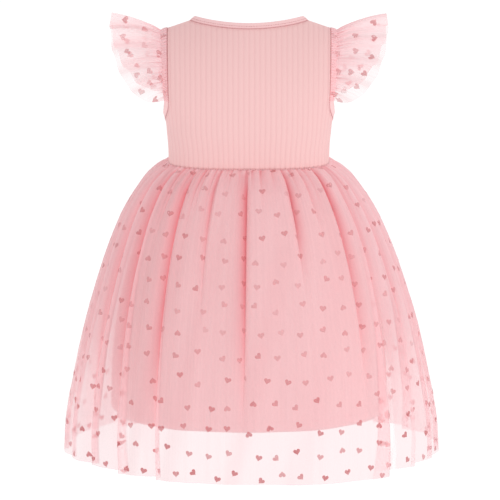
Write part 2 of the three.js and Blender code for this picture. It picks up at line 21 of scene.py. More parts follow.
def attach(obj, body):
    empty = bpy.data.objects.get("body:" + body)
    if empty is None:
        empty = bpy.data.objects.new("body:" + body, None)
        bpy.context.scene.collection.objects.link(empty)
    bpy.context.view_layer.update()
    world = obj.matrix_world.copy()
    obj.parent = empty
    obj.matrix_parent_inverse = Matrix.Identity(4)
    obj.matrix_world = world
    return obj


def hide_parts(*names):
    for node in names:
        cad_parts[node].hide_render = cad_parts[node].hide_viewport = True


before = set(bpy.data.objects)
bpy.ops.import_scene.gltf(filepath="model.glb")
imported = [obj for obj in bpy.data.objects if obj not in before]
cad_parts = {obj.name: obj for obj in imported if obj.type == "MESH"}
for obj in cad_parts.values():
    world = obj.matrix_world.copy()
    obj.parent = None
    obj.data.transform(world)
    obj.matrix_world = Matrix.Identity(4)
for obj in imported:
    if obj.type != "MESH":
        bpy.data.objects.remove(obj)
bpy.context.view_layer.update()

LOG = logging.getLogger("dress")
MILLIMETRE = 0.001
ROOT_BODY = "root"
# Half the room between two panels at a side seam, in millimetres.
SEAM_ROOM = 0.02
Colour = tuple[float, float, float, float]


class Face(Enum):
    """A panel's face of the dress, with the sign of Y on that side."""

    BACK = -1
    FRONT = 1

    @property
    def word(self) -> str:
        """The face's name as it stands in node names."""
        return self.name.lower()


class Side(Enum):
    """A side of the dress, with the sign of X on that side."""

    LEFT = -1
    RIGHT = 1

    @property
    def word(self) -> str:
        """The side's name as it stands in node names."""
        return self.name.lower()


class Held(Enum):
    """How a cloth is held in the finished dress."""

    STRETCHED = "stretched"
    GATHERED = "gathered"


class Slot(Enum):
    """The record's material slots."""

    KNIT = "rib_knit"
    BINDING = "binding"
    NET = "net"
    LINING = "lining"


# Smooth shapes


def smooth_rows(rows: Sequence[object], key: str, name: str, wanted: np.ndarray) -> np.ndarray:
    """Reads one named size smoothly between a table's rows.

    Args:
        rows: the table, in order of its key.
        key: the name of the size that orders the rows.
        name: the name of the size to read.
        wanted: the values of the key to read it at.

    Returns:
        The size at each wanted value.
    """
    keys = np.array([getattr(row, key) for row in rows], dtype=float)
    values = np.array([getattr(row, name) for row in rows], dtype=float)
    count = len(keys)
    low = np.maximum(np.arange(count) - 1, 0)
    high = np.minimum(np.arange(count) + 1, count - 1)
    slopes = (values[high] - values[low]) / (keys[high] - keys[low])
    at = np.clip(wanted, keys[0], keys[-1])
    row = np.clip(np.searchsorted(keys, at, side="right") - 1, 0, count - 2)
    span = keys[row + 1] - keys[row]
    t = (at - keys[row]) / span
    return (
        (2 * t**3 - 3 * t**2 + 1) * values[row]
        + (t**3 - 2 * t**2 + t) * span * slopes[row]
        + (3 * t**2 - 2 * t**3) * values[row + 1]
        + (t**3 - t**2) * span * slopes[row + 1]
    )


def smooth_step(value: np.ndarray, low: float, high: float) -> np.ndarray:
    """Rises smoothly from 0 at low to 1 at high.

    Args:
        value: where to read it.
        low: where the rise starts.
        high: where the rise ends.

    Returns:
        The share of the rise at each value.
    """
    t = np.clip((value - low) / (high - low), 0, 1)
    return t * t * (3 - 2 * t)


def quarter_arcs(half_width: np.ndarray, half_depth: np.ndarray, squareness: np.ndarray) -> np.ndarray:
    """Quarters of rounded sections, from the middle line to the side.

    Args:
        half_width: the sections' half widths.
        half_depth: the sections' half depths.
        squareness: 2 for an ellipse, more for squarer corners.

    Returns:
        For each section, 61 points of x, depth and arc length so far.
    """
    angle = np.linspace(0, math.pi / 2, 61)
    across = np.sin(angle) / half_width[:, None]
    deep = np.cos(angle) / half_depth[:, None]
    power = squareness[:, None]
    reach = (across**power + deep**power) ** (-1 / power)
    x = reach * np.sin(angle)
    depth = reach * np.cos(angle)
    depth[:, -1] = 0
    steps = np.hypot(np.diff(x, axis=1), np.diff(depth, axis=1))
    length = np.concatenate([np.zeros((len(x), 1)), np.cumsum(steps, axis=1)], axis=1)
    return np.stack([x, depth, length], axis=-1)


def along_arcs(arcs: np.ndarray, length: np.ndarray) -> tuple[np.ndarray, np.ndarray]:
    """Points at signed arc lengths from the middle lines, one for each section.

    Args:
        arcs: the sections, as quarter_arcs gives them.
        length: a signed arc length on each section.

    Returns:
        The signed x and the depth of each point.
    """
    wanted = np.minimum(np.abs(length), arcs[:, -1, 2])
    after = np.clip((arcs[:, :, 2] < wanted[:, None]).sum(axis=1), 1, 60)
    row = np.arange(len(arcs))
    start, end = arcs[row, after - 1], arcs[row, after]
    t = (wanted - start[:, 2]) / (end[:, 2] - start[:, 2])
    x = start[:, 0] + t * (end[:, 0] - start[:, 0])
    depth = start[:, 1] + t * (end[:, 1] - start[:, 1])
    return np.sign(length) * x, depth


def unit(vectors: np.ndarray) -> np.ndarray:
    """Vectors scaled to length 1."""
    return vectors / np.maximum(np.linalg.norm(vectors, axis=-1, keepdims=True), 1e-9)


def facing_out(normals: np.ndarray, outward: np.ndarray) -> np.ndarray:
    """Normals, each turned round where it looks against its outward direction."""
    side = np.sign((normals * outward).sum(axis=-1, keepdims=True))
    return normals * np.where(side == 0, 1, side)


def on_axis(height: np.ndarray) -> np.ndarray:
    """Points at some heights on the dress's upright middle line."""
    return np.stack([np.zeros_like(height), np.zeros_like(height), height], axis=-1)


def lengths_along(line: np.ndarray) -> np.ndarray:
    """How far each point of a line lies from its first one, along the line."""
    return np.concatenate([[0], np.cumsum(np.linalg.norm(np.diff(line, axis=0), axis=1))])


def closed(line: np.ndarray) -> np.ndarray:
    """A ring's points with the first one again at the end."""
    return np.concatenate([line, line[:1]])


def evenly(columns: int) -> np.ndarray:
    """Places from 0 to 1 for the columns of a row."""
    return np.linspace(0, 1, columns)[None, :]


def flat_places(across: np.ndarray, down: np.ndarray) -> np.ndarray:
    """Places on a flat cloth, from distances across it and down it."""
    return np.stack(np.broadcast_arrays(across, down), axis=-1)


def kept_to_face(points: np.ndarray, face: Face) -> np.ndarray:
    """A panel's points, moved where they have crossed the plane of the side seams."""
    points[..., 1] = face.value * np.maximum(face.value * points[..., 1], SEAM_ROOM)
    return points


def ripples(place: np.ndarray, waves: float, seed: int, spread: float = 0.35) -> np.ndarray:
    """Uneven waves along a line, between -1 and 1, the same on each run.

    Args:
        place: the places along the line, from 0 to 1.
        waves: about how many waves there are.
        seed: which set of waves.
        spread: how much their widths differ.

    Returns:
        The height of the waves at each place.
    """
    random = np.random.default_rng(seed)
    total = np.zeros_like(place, dtype=float)
    weights = 0.0
    for _ in range(5):
        count = waves * (1 + spread * random.uniform(-1, 1))
        weight = random.uniform(0.5, 1)
        total += weight * np.sin(2 * math.pi * (count * place + random.uniform(0, 1)))
        weights += weight
    return total / (0.62 * weights)


@dataclass
class ClothGrid:
    """A cloth surface as rows and columns of points.

    Attributes:
        points: rows by columns by 3, in millimetres.
        inside: a point that the cloth's inner side faces, for each row or for all.
        ring: whether the last column is the first one again.
    """

    points: np.ndarray
    inside: np.ndarray
    ring: bool = False

    def normals(self) -> np.ndarray:
        """Unit normals that point out of the dress."""
        if self.ring:
            wide = np.concatenate([self.points[:, -2:-1], self.points, self.points[:, 1:2]], axis=1)
            across = (wide[:, 2:] - wide[:, :-2]) / 2
        else:
            across = np.gradient(self.points, axis=1)
        down = np.gradient(self.points, axis=0)
        return facing_out(unit(np.cross(across, down)), self.points - self.inside)

    def moved(self, distance: np.ndarray) -> "ClothGrid":
        """The same cloth with each point moved out by its own distance."""
        return ClothGrid(self.points + self.normals() * distance[..., None], self.inside, self.ring)

    def sample(self, row: np.ndarray, column: np.ndarray) -> np.ndarray:
        """Points between the rows and columns.

        Args:
            row: row numbers, whole or not.
            column: column numbers, whole or not.

        Returns:
            The points, in millimetres.
        """
        rows, columns = self.points.shape[:2]
        row = np.clip(row, 0, rows - 1.001)
        column = np.clip(column, 0, columns - 1.001)
        r, c = row.astype(int), column.astype(int)
        s, t = (row - r)[..., None], (column - c)[..., None]
        top = self.points[r, c] * (1 - t) + self.points[r, c + 1] * t
        low = self.points[r + 1, c] * (1 - t) + self.points[r + 1, c + 1] * t
        return top * (1 - s) + low * s

    def lengths_across(self, row: int) -> np.ndarray:
        """How far each point of a row lies from the row's first point along the cloth."""
        return lengths_along(self.points[row])

    def lengths_down(self) -> np.ndarray:
        """How far each row lies from the first row along the cloth's middle column."""
        return lengths_along(self.points[:, self.points.shape[1] // 2])


# Meshes


def linked(name: str, data: ID) -> Object:
    """A new object in the scene, at the origin."""
    made = bpy.data.objects.new(name, data)
    bpy.context.scene.collection.objects.link(made)
    return made


def finished_mesh(name: str, bm: bmesh.types.BMesh) -> Mesh:
    """A new mesh with the shape of a working one, which is freed."""
    mesh = bpy.data.meshes.new(name)
    bm.to_mesh(mesh)
    bm.free()
    return mesh


def read_all(items: Sequence[object], name: str, width: int = 1, kind: type = float) -> np.ndarray:
    """Reads one property of all of a mesh's items.

    Args:
        items: the mesh's points, corners or faces.
        name: the property.
        width: how many numbers it has.
        kind: the numbers' type.

    Returns:
        A row for each item, or a number for each where it has only one.
    """
    values = np.empty(len(items) * width, dtype=kind)
    items.foreach_get(name, values)
    return values.reshape(-1, width) if width > 1 else values


def add_to_scene(name: str, mesh: Mesh) -> Object:
    """Puts a finished mesh into the scene as a smooth piece that rides on the dress.

    Args:
        name: the piece's name.
        mesh: its mesh, in metres.

    Returns:
        The new object.
    """
    mesh.polygons.foreach_set("use_smooth", np.ones(len(mesh.polygons), dtype=bool))
    mesh.update()
    piece = linked(name, mesh)
    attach(piece, ROOT_BODY)
    LOG.info("%s: %d faces", name, len(mesh.polygons))
    return piece


def cloth_piece(
    name: str,
    grid: ClothGrid,
    uv: np.ndarray,
    layers: dict[str, np.ndarray] | None = None,
    keep: Callable[[int, int], bool] | None = None,
    weld: bool = False,
) -> Object:
    """Makes a cloth from a flat grid laid onto its rows and columns of points.

    Args:
        name: the piece's name.
        grid: the cloth's points.
        uv: rows by columns by 2, each point's place on the flat cloth in metres.
        layers: named numbers for each point, read by the materials.
        keep: says which cells of the grid, by row and column, belong to the cloth.
        weld: whether the grid closes on itself.

    Returns:
        The piece.
    """
    rows, columns = grid.points.shape[:2]
    bm = bmesh.new()
    bmesh.ops.create_grid(bm, x_segments=columns - 1, y_segments=rows - 1, size=0.5)
    if keep is not None:
        gone = [
            cell
            for cell in bm.faces
            if not keep(
                int((cell.calc_center_median().y + 0.5) * (rows - 1)),
                int((cell.calc_center_median().x + 0.5) * (columns - 1)),
            )
        ]
        bmesh.ops.delete(bm, geom=gone, context="FACES")
    mesh = finished_mesh(name, bm)
    flat = read_all(mesh.vertices, "co", 3)
    column = np.rint((flat[:, 0] + 0.5) * (columns - 1)).astype(int)
    row = np.rint((flat[:, 1] + 0.5) * (rows - 1)).astype(int)
    mesh.vertices.foreach_set("co", (grid.points[row, column] * MILLIMETRE).ravel())
    for layer, values in (layers or {}).items():
        attribute = mesh.attributes.new(layer, "FLOAT", "POINT")
        attribute.data.foreach_set("value", values[row, column].astype(np.float32))
    corner = read_all(mesh.loops, "vertex_index", kind=np.int32)
    mesh.uv_layers.new(name="cloth").uv.foreach_set("vector", uv[row, column][corner].ravel())
    mesh.update()
    face_outward(mesh, grid.normals()[row, column])
    if weld:
        bm = bmesh.new()
        bm.from_mesh(mesh)
        bmesh.ops.remove_doubles(bm, verts=bm.verts, dist=1e-6)
        bm.to_mesh(mesh)
        bm.free()
    return add_to_scene(name, mesh)


def face_outward(mesh: Mesh, outward: np.ndarray) -> None:
    """Turns a mesh's faces round where most of them look into the dress.

    Args:
        mesh: the mesh.
        outward: the outward normal at each of its vertices.
    """
    normals = read_all(mesh.polygons, "normal", 3)
    first = read_all(mesh.polygons, "loop_start", kind=np.int32)
    corner = read_all(mesh.loops, "vertex_index", kind=np.int32)
    if (normals * outward[corner[first]]).sum() < 0:
        mesh.flip_normals()


def thicken(piece: Object, thickness: float) -> None:
    """Gives a cloth its thickness in millimetres, towards the inside of the dress."""
    wall = piece.modifiers.new("thickness", "SOLIDIFY")
    wall.thickness = thickness * MILLIMETRE
    wall.offset = -1


# Finishes


def colour(red: int, green: int, blue: int) -> Colour:
    """A screen colour from 0 to 255 as the linear colour that shaders use."""
    return tuple(((c / 255 + 0.055) / 1.055) ** 2.4 for c in (red, green, blue)) + (1.0,)


class Shading:
    """The node tree of one material, with short ways to add and join its nodes."""

    def __init__(self, name: str) -> None:
        """Starts a material whose surface is one principled shader."""
        self.material = bpy.data.materials.new(name)
        self.material.use_nodes = True
        self.tree = self.material.node_tree
        self.shader = self.tree.nodes["Principled BSDF"]

    def node(self, kind: str, inputs: dict[str, object] | None = None, **settings: object) -> Node:
        """Adds a node.

        Args:
            kind: the node's type, without the word that all types start with.
            inputs: socket names with the value or socket that each takes.
            settings: the node's own settings.

        Returns:
            The node.
        """
        made = self.tree.nodes.new(f"ShaderNode{kind}")
        for name, value in settings.items():
            setattr(made, name, value)
        for name, value in (inputs or {}).items():
            self.feed(made.inputs[name], value)
        return made

    def feed(self, socket: NodeSocket, value: object) -> None:
        """Gives a socket a value, or joins another node's socket to it."""
        if isinstance(value, NodeSocket):
            self.tree.links.new(value, socket)
        else:
            socket.default_value = value

    def surface(self, **inputs: object) -> None:
        """Sets the shader's sockets, named with underscores for spaces."""
        for name, value in inputs.items():
            self.feed(self.shader.inputs[name.replace("_", " ")], value)

    def number(self, layer: str) -> NodeSocket:
        """A mesh's own named number."""
        return self.node("Attribute", attribute_name=layer).outputs["Fac"]

    def flat_place(self, scale: tuple[float, float, float] = (1, 1, 1)) -> NodeSocket:
        """The place on the flat cloth, in metres, scaled."""
        uv = self.node("TexCoord").outputs["UV"]
        return self.node("Mapping", {"Vector": uv, "Scale": scale}).outputs["Vector"]

    def body_place(self) -> NodeSocket:
        """The place in the piece's own space, in metres."""
        return self.node("TexCoord").outputs["Object"]

    def noise(self, place: NodeSocket, scale: float, detail: float = 2) -> NodeSocket:
        """Soft random values about 0.5."""
        inputs = {"Vector": place, "Scale": scale, "Detail": detail}
        return self.node("TexNoise", inputs).outputs["Fac"]

    def bands(self, place: NodeSocket, scale: float, direction: str) -> NodeSocket:
        """Even bands from 0 to 1, scale of them in each 1/3 of a metre or so."""
        inputs = {"Vector": place, "Scale": scale}
        return self.node("TexWave", inputs, bands_direction=direction).outputs["Fac"]

    def maths(self, operation: str, first: object, second: object = 0.0) -> NodeSocket:
        """A sum, product or other operation on two numbers."""
        made = self.node("Math", operation=operation)
        self.feed(made.inputs[0], first)
        self.feed(made.inputs[1], second)
        return made.outputs[0]

    def ranged(self, value: NodeSocket, low: float, high: float) -> NodeSocket:
        """A number from 0 to 1 spread from low to high."""
        inputs = {"Value": value, "To Min": low, "To Max": high}
        return self.node("MapRange", inputs).outputs["Result"]

    def mixed(self, share: object, first: object, second: object) -> NodeSocket:
        """A colour between two others."""
        made = self.node("Mix", data_type="RGBA")
        self.feed(made.inputs["Factor"], share)
        self.feed(made.inputs[6], first)
        self.feed(made.inputs[7], second)
        return made.outputs[2]

    def bump(self, height: NodeSocket, strength: float, distance: float) -> NodeSocket:
        """A surface roughened by a height, distance being its full height in metres."""
        inputs = {"Height": height, "Strength": strength, "Distance": distance}
        return self.node("Bump", inputs).outputs["Normal"]


@dataclass(frozen=True)
class KnitFinish:
    """A cotton rib knit: fine stitches, soft fuzz and painted shade in the grooves.

    Attributes:
        name: the material's name.
        ridge: the colour on the ribs.
        groove: the colour between them, a painted shade; on a binding, the painted shade along its sewn
            edge.
        stitch: the height of a stitch, in metres.
    """

    name: str
    ridge: Colour
    groove: Colour
    stitch: float = 0.00018

    def make(self) -> Material:
        """Builds the material."""
        knit = Shading(self.name)
        place = knit.flat_place()
        rows = knit.bands(place, 220, "Y")
        wales = knit.bands(place, 200, "X")
        stitches = knit.maths("MULTIPLY", rows, wales)
        fuzz = knit.noise(place, 2600, 3)
        height = knit.maths("ADD", stitches, knit.maths("MULTIPLY", fuzz, 0.6))
        patches = knit.ranged(knit.noise(place, 24), -0.12, 0.12)
        # The mesh's groove number paints shade into the grooves, mixed with random patches of tone.
        share = knit.maths("ADD", knit.number("groove"), patches)
        groove_shade_and_patches = knit.mixed(share, self.ridge, self.groove)
        speck = knit.mixed(knit.maths("MULTIPLY", fuzz, 0.16), groove_shade_and_patches, colour(255, 236, 232))
        knit.surface(
            Base_Color=speck,
            Roughness=0.92,
            Specular_IOR_Level=0.2,
            Sheen_Weight=0.25,
            Sheen_Roughness=0.5,
            Normal=knit.bump(height, 0.5, self.stitch),
        )
        return knit.material


@dataclass(frozen=True)
class NetFinish:
    """Fine sheer net: lets light through, less so where gathered, and is deeper in its folds, from layered
    net and painted shade.

    Attributes:
        name: the material's name.
        thread: the thread's colour.
        folded: the colour in folds, partly where light has passed through several layers and partly painted
            shade.
    """

    name: str
    thread: Colour
    folded: Colour

    def make(self) -> Material:
        """Builds the material, whose closeness and painted fold shade come from the mesh's own numbers."""
        net = Shading(self.name)
        place = net.flat_place()
        streaks = net.noise(net.flat_place((1, 0.05, 1)), 300, 2)
        cells = net.node("TexVoronoi", {"Vector": place, "Scale": 900}, feature="DISTANCE_TO_EDGE")
        threads = net.ranged(cells.outputs["Distance"], 1.2, 0.8)
        uneven = net.maths("MULTIPLY", net.number("closeness"), net.ranged(streaks, 0.94, 1.06))
        alpha = net.maths("MULTIPLY", uneven, threads)
        alpha = net.maths("MINIMUM", net.maths("MAXIMUM", alpha, 0.06), 0.96)
        net.surface(
            # The fold number mixes in the folded colour: painted shade, partly the deeper colour of layered
            # net.
            Base_Color=net.mixed(net.number("fold"), self.thread, self.folded),
            Alpha=alpha,
            Roughness=0.7,
            Specular_IOR_Level=0.25,
            Sheen_Weight=0.1,
            Normal=net.bump(cells.outputs["Distance"], 0.15, 0.0002),
        )
        return net.material


@dataclass(frozen=True)
class PrintFinish:
    """A glittering print on the net.

    Attributes:
        name: the material's name.
        tint: the print's colour.
        glint: the colour of its brightest specks, painted glints of the glitter.
    """

    name: str
    tint: Colour
    glint: Colour

    def make(self) -> Material:
        """Builds the material, whose strength comes from the mesh's own number."""
        motif = Shading(self.name)
        place = motif.body_place()
        grains = motif.noise(place, 2200, 1)
        # The brightest grains take the glint colour: painted glints.
        specks = motif.node("MapRange", {"Value": grains, "From Min": 0.58, "From Max": 0.7})
        alpha = motif.maths("MULTIPLY", motif.number("strength"), motif.ranged(grains, 0.75, 1.15))
        motif.surface(
            Base_Color=motif.mixed(specks.outputs["Result"], self.tint, self.glint),
            Alpha=motif.maths("MINIMUM", alpha, 1),
            Roughness=motif.ranged(grains, 0.3, 0.6),
            Metallic=0.15,
            Normal=motif.bump(grains, 0.6, 0.0002),
        )
        return motif.material


@dataclass(frozen=True)
class LiningFinish:
    """A plain, softly shining lining cloth.

    Attributes:
        name: the material's name.
        ground: the cloth's colour.
        deep: the colour of its slightly darker threads.
    """

    name: str
    ground: Colour
    deep: Colour

    def make(self) -> Material:
        """Builds the material."""
        lining = Shading(self.name)
        place = lining.flat_place()
        warp = lining.bands(place, 620, "X")
        weft = lining.bands(place, 620, "Y")
        slubs = lining.noise(lining.flat_place((1, 0.08, 1)), 300, 2)
        weave = lining.maths("ADD", lining.maths("MULTIPLY", warp, weft), slubs)
        lining.surface(
            Base_Color=lining.mixed(lining.ranged(slubs, 0.0, 0.6), self.ground, self.deep),
            Roughness=lining.ranged(slubs, 0.5, 0.66),
            Specular_IOR_Level=0.35,
            Sheen_Weight=0.3,
            Normal=lining.bump(weave, 0.35, 0.0001),
        )
        return lining.material


@dataclass(frozen=True)
class ThreadFinish:
    """Sewing thread with a slight twist.

    Attributes:
        name: the material's name.
        dye: the thread's colour.
    """

    name: str
    dye: Colour

    def make(self) -> Material:
        """Builds the material."""
        thread = Shading(self.name)
        place = thread.body_place()
        twist = thread.bands(place, 900, "DIAGONAL")
        shade = thread.mixed(thread.ranged(twist, 0.0, 0.25), self.dye, colour(214, 140, 142))
        thread.surface(Base_Color=shade, Roughness=0.6, Normal=thread.bump(twist, 0.4, 0.0001))
        return thread.material


class Finishes:
    """Every finish on the dress, made once."""

    def __init__(self) -> None:
        """Makes the materials."""
        self.knit = KnitFinish("rib knit", colour(248, 200, 199), colour(244, 193, 193)).make()
        # The binding's second colour is the painted shade along its sewn edge.
        folded, shaded = colour(255, 209, 210), colour(236, 174, 177)
        self.binding = KnitFinish("folded knit binding", folded, shaded).make()
        # The net's second colour is its painted fold shade, partly the deeper colour of layered net.
        self.net = NetFinish("sheer net", colour(255, 209, 213), colour(227, 127, 134)).make()
        self.hearts = PrintFinish("heart print", colour(203, 108, 112), colour(232, 168, 168)).make()
        self.lining = LiningFinish("lining cloth", colour(241, 207, 208), colour(238, 200, 201)).make()
        self.thread = ThreadFinish("sewing thread", colour(251, 210, 212)).make()
        # The dark seam thread, laid in the ditch beside each binding, is a painted shadow line; the neck's
        # topstitch uses it too.
        self.seam = ThreadFinish("seam thread", colour(205, 126, 131)).make()


def dress_piece(piece: Object, finish: Material, slot: Slot, *nodes: str) -> None:
    """Gives a piece its finish and hides the model's nodes that it stands for.

    Net casts no shadow, because its threads scatter on nearly all the light that they stop.

    Args:
        piece: the piece.
        finish: its material.
        slot: the record's slot that it belongs to.
        nodes: the model's nodes that it stands for.
    """
    piece.data.materials.append(finish)
    piece.visible_shadow = slot is not Slot.NET
    if nodes:
        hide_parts(*nodes)


# The bodice


@dataclass(frozen=True)
class BodiceSection:
    """The body form's size at a height."""

    height: float
    half_width: float
    back_depth: float
    front_depth: float


BODICE_SECTIONS = (
    BodiceSection(-168, 97, 57, 60),
    BodiceSection(-150, 97.5, 58, 61),
    BodiceSection(-133, 99.3, 60, 63),
    BodiceSection(-115, 101.5, 61, 64),
    BodiceSection(-85, 111, 62, 65),
    BodiceSection(-50, 117, 62, 65),
    BodiceSection(10, 120, 61, 63),
)


@dataclass
class BodiceForm:
    """The surface that the knit lies on, measured in half ribs from each panel's middle line.

    Attributes:
        waist: the height of the waist seam.
        underarm: the height of the underarm.
        squareness: how square the body form's section is.
        slope: how steeply the shoulders fall.
        shoulder_x: where the shoulder seam crosses height 0.
        blend: how widely the two shoulders' lines round into each other.
        half_columns: half ribs from the middle line to the side seam.
        armhole_column: the half rib on which the armhole's edge runs up.
        neck_column: the half rib on which neckline and shoulder meet.
        corner: the height where the armhole's edge turns under the arm.
        evening: how far below the underarm the ribs become evenly spaced.
        back_dip: how far the back neckline dips.
        front_dip: how far the front neckline dips.
    """

    waist: float = -168
    underarm: float = -115
    squareness: float = 2.8
    slope: float = 0.36
    shoulder_x: float = 86
    blend: float = 25
    half_columns: int = 42
    armhole_column: int = 31
    neck_column: int = 22
    corner: float = -88
    evening: float = 25
    back_dip: float = 5.5
    front_dip: float = 47

    def __post_init__(self) -> None:
        """Works out the width of half a rib and the neckline's ends."""
        chest = self._arcs(np.array([self.underarm]), Face.BACK)
        self.column_width = float(chest[0, -1, 2]) / self.half_columns
        top = quarter_arcs(np.array([120.0]), np.array([61.0]), np.array([self.squareness]))
        x, _ = along_arcs(top, np.array([self.neck_column * self.column_width]))
        self.neck_x = float(x[0])

    def _arcs(self, height: np.ndarray, face: Face) -> np.ndarray:
        """The body form's quarter sections at some heights."""
        depth = "back_depth" if face is Face.BACK else "front_depth"
        return quarter_arcs(
            smooth_rows(BODICE_SECTIONS, "height", "half_width", height),
            smooth_rows(BODICE_SECTIONS, "height", depth, height),
            np.full(height.shape, self.squareness),
        )

    def shoulder_height(self, x: np.ndarray) -> np.ndarray:
        """The height of the shoulder seam over x, rounded across the neck opening."""
        return self.slope * (math.hypot(self.shoulder_x, self.blend) - np.hypot(x, self.blend))

    def rounding(self, x: np.ndarray, height: np.ndarray) -> np.ndarray:
        """How far the body's depth has grown below the shoulder line, from 0 to 1."""
        ridge = self.shoulder_height(x)
        share = np.clip((ridge - height) / (ridge - self.underarm), 0, 1)
        return (1 - (1 - share) ** 2.5) ** (1 / 1.5)

    def points(self, face: Face, column: np.ndarray, height: np.ndarray) -> np.ndarray:
        """Points of the smooth surface.

        Args:
            face: the panel.
            column: half ribs from its middle line.
            height: the height of each point.

        Returns:
            The points, in millimetres.
        """
        shape = np.broadcast(column, height).shape
        across = np.broadcast_to(column, shape).ravel().astype(float)
        up = np.broadcast_to(height, shape).ravel().astype(float)
        arcs = self._arcs(up, face)
        chest = float(self._arcs(np.array([self.underarm]), face)[0, -1, 2])
        length = np.where(up >= self.underarm, chest, arcs[:, -1, 2])
        spare = length - self.half_columns * self.column_width
        level = smooth_step(self.underarm - up, 0, self.evening)
        beside = smooth_step(np.abs(across), self.armhole_column, self.half_columns)
        spread = level * np.abs(across) / self.half_columns + (1 - level) * beside
        x, depth = along_arcs(arcs, across * self.column_width + np.sign(across) * spare * spread)
        y = face.value * depth * self.rounding(x, up)
        return np.stack([x, y, up], axis=-1).reshape(*shape, 3)

    def neckline(self, face: Face, column: np.ndarray) -> np.ndarray:
        """The height of the neckline over a column."""
        share = np.minimum(np.abs(column) / self.neck_column, 1)
        side = float(self.shoulder_height(np.array(self.neck_x)))
        if face is Face.BACK:
            return side - self.back_dip * (1 - share**2)
        return side - self.front_dip * (1 - share**2) ** 0.6

    def lower_top(self, column: np.ndarray) -> np.ndarray:
        """The top of the panel's lower part: level, then the underarm curve out to the side."""
        share = (np.abs(column) - self.armhole_column) / (self.half_columns - self.armhole_column)
        share = np.clip(share, 0, 1)
        return self.corner - (self.corner - self.underarm) * np.sqrt(1 - (1 - share) ** 2)

    def yoke_top(self, face: Face, column: np.ndarray) -> np.ndarray:
        """The top of the yoke over a column: the neckline, or the shoulder seam."""
        arcs = self._arcs(np.zeros(column.shape), face)
        x, _ = along_arcs(arcs, column * self.column_width)
        on_neck = np.abs(column) <= self.neck_column
        return np.where(on_neck, self.neckline(face, column), self.shoulder_height(x))

    def normals(self, face: Face, column: np.ndarray, height: np.ndarray) -> np.ndarray:
        """Unit normals of the smooth surface, pointing out."""
        at = self.points(face, column, height)
        low = np.minimum(height, self.shoulder_height(at[..., 0]) - 0.8)
        across = self.points(face, column + 0.4, low) - self.points(face, column - 0.4, low)
        up = self.points(face, column, low + 0.6) - self.points(face, column, low - 0.6)
        return facing_out(unit(np.cross(across, up)), at - on_axis(height - 20))


@dataclass
class BodicePanel:
    """The knit back or front of the bodice, with its ribs.

    Attributes:
        form: the surface that it lies on.
        face: which panel it is.
        finishes: the dress's finishes.
        ridge: how far a rib stands out.
        groove: how far the groove between two ribs sinks in.
        per_half_rib: columns for each half rib.
        lower_rows: rows below the armholes.
        yoke_rows: rows above the armholes' lower corners.
        thickness: the knit's thickness.
    """

    form: BodiceForm
    face: Face
    finishes: Finishes
    ridge: float = 0.33
    groove: float = 0.12
    per_half_rib: int = 4
    lower_rows: int = 34
    yoke_rows: int = 44
    thickness: float = 1.3

    def grid(self) -> tuple[ClothGrid, np.ndarray, np.ndarray]:
        """Lays out the panel.

        Returns:
            Its points, each point's place on the flat knit, and how deep in a groove it lies.
        """
        form = self.form
        half = form.half_columns
        column = np.linspace(-half, half, 2 * half * self.per_half_rib + 1)
        low = np.linspace(0, 1, self.lower_rows + 1)[:, None]
        high = 1 - (1 - np.linspace(0, 1, self.yoke_rows + 1)[1:, None]) ** 2.2
        lower_top = form.lower_top(column)[None, :]
        yoke_top = form.yoke_top(self.face, column)[None, :]
        lower = form.waist + (lower_top - form.waist) * low
        height = np.concatenate([lower, lower_top + (yoke_top - lower_top) * high])
        across = np.broadcast_to(column, height.shape)
        smooth = form.points(self.face, across, height)
        normal = form.normals(self.face, across, height)
        groove = np.abs(np.cos(math.pi * across / 2)) ** 9
        soften = smooth_step(yoke_top - height, 0, 5)
        seam = np.minimum(half - np.abs(across), 1)
        rise = (self.ridge * (1 - groove) - self.groove * groove) * (0.35 + 0.65 * soften)
        sway = 0.5 * ripples(height / 300 + across / 260, 3, 5 + self.face.value)
        points = smooth + normal * (rise + sway * soften - 0.5 * (1 - seam) ** 2)[..., None]
        flat = flat_places(across * form.column_width, height - form.waist) * MILLIMETRE
        inside = np.array([0, 0, -120.0])
        return ClothGrid(kept_to_face(points, self.face), inside), flat, groove

    def build(self) -> None:
        """Makes and dresses the panel."""
        grid, flat, groove = self.grid()
        middle = self.form.half_columns * self.per_half_rib
        reach = self.form.armhole_column * self.per_half_rib

        def in_panel(row: int, column: int) -> bool:
            """Whether a cell lies below the armholes or between them."""
            return row < self.lower_rows or abs(column + 0.5 - middle) < reach

        name = f"bodice_{self.face.word}_knit"
        # The groove number darkens the knit between the ribs: painted shade in the grooves.
        piece = cloth_piece(name, grid, flat, {"groove": groove}, keep=in_panel)
        thicken(piece, self.thickness)
        dress_piece(piece, self.finishes.knit, Slot.KNIT, f"bodice_{self.face.word}")


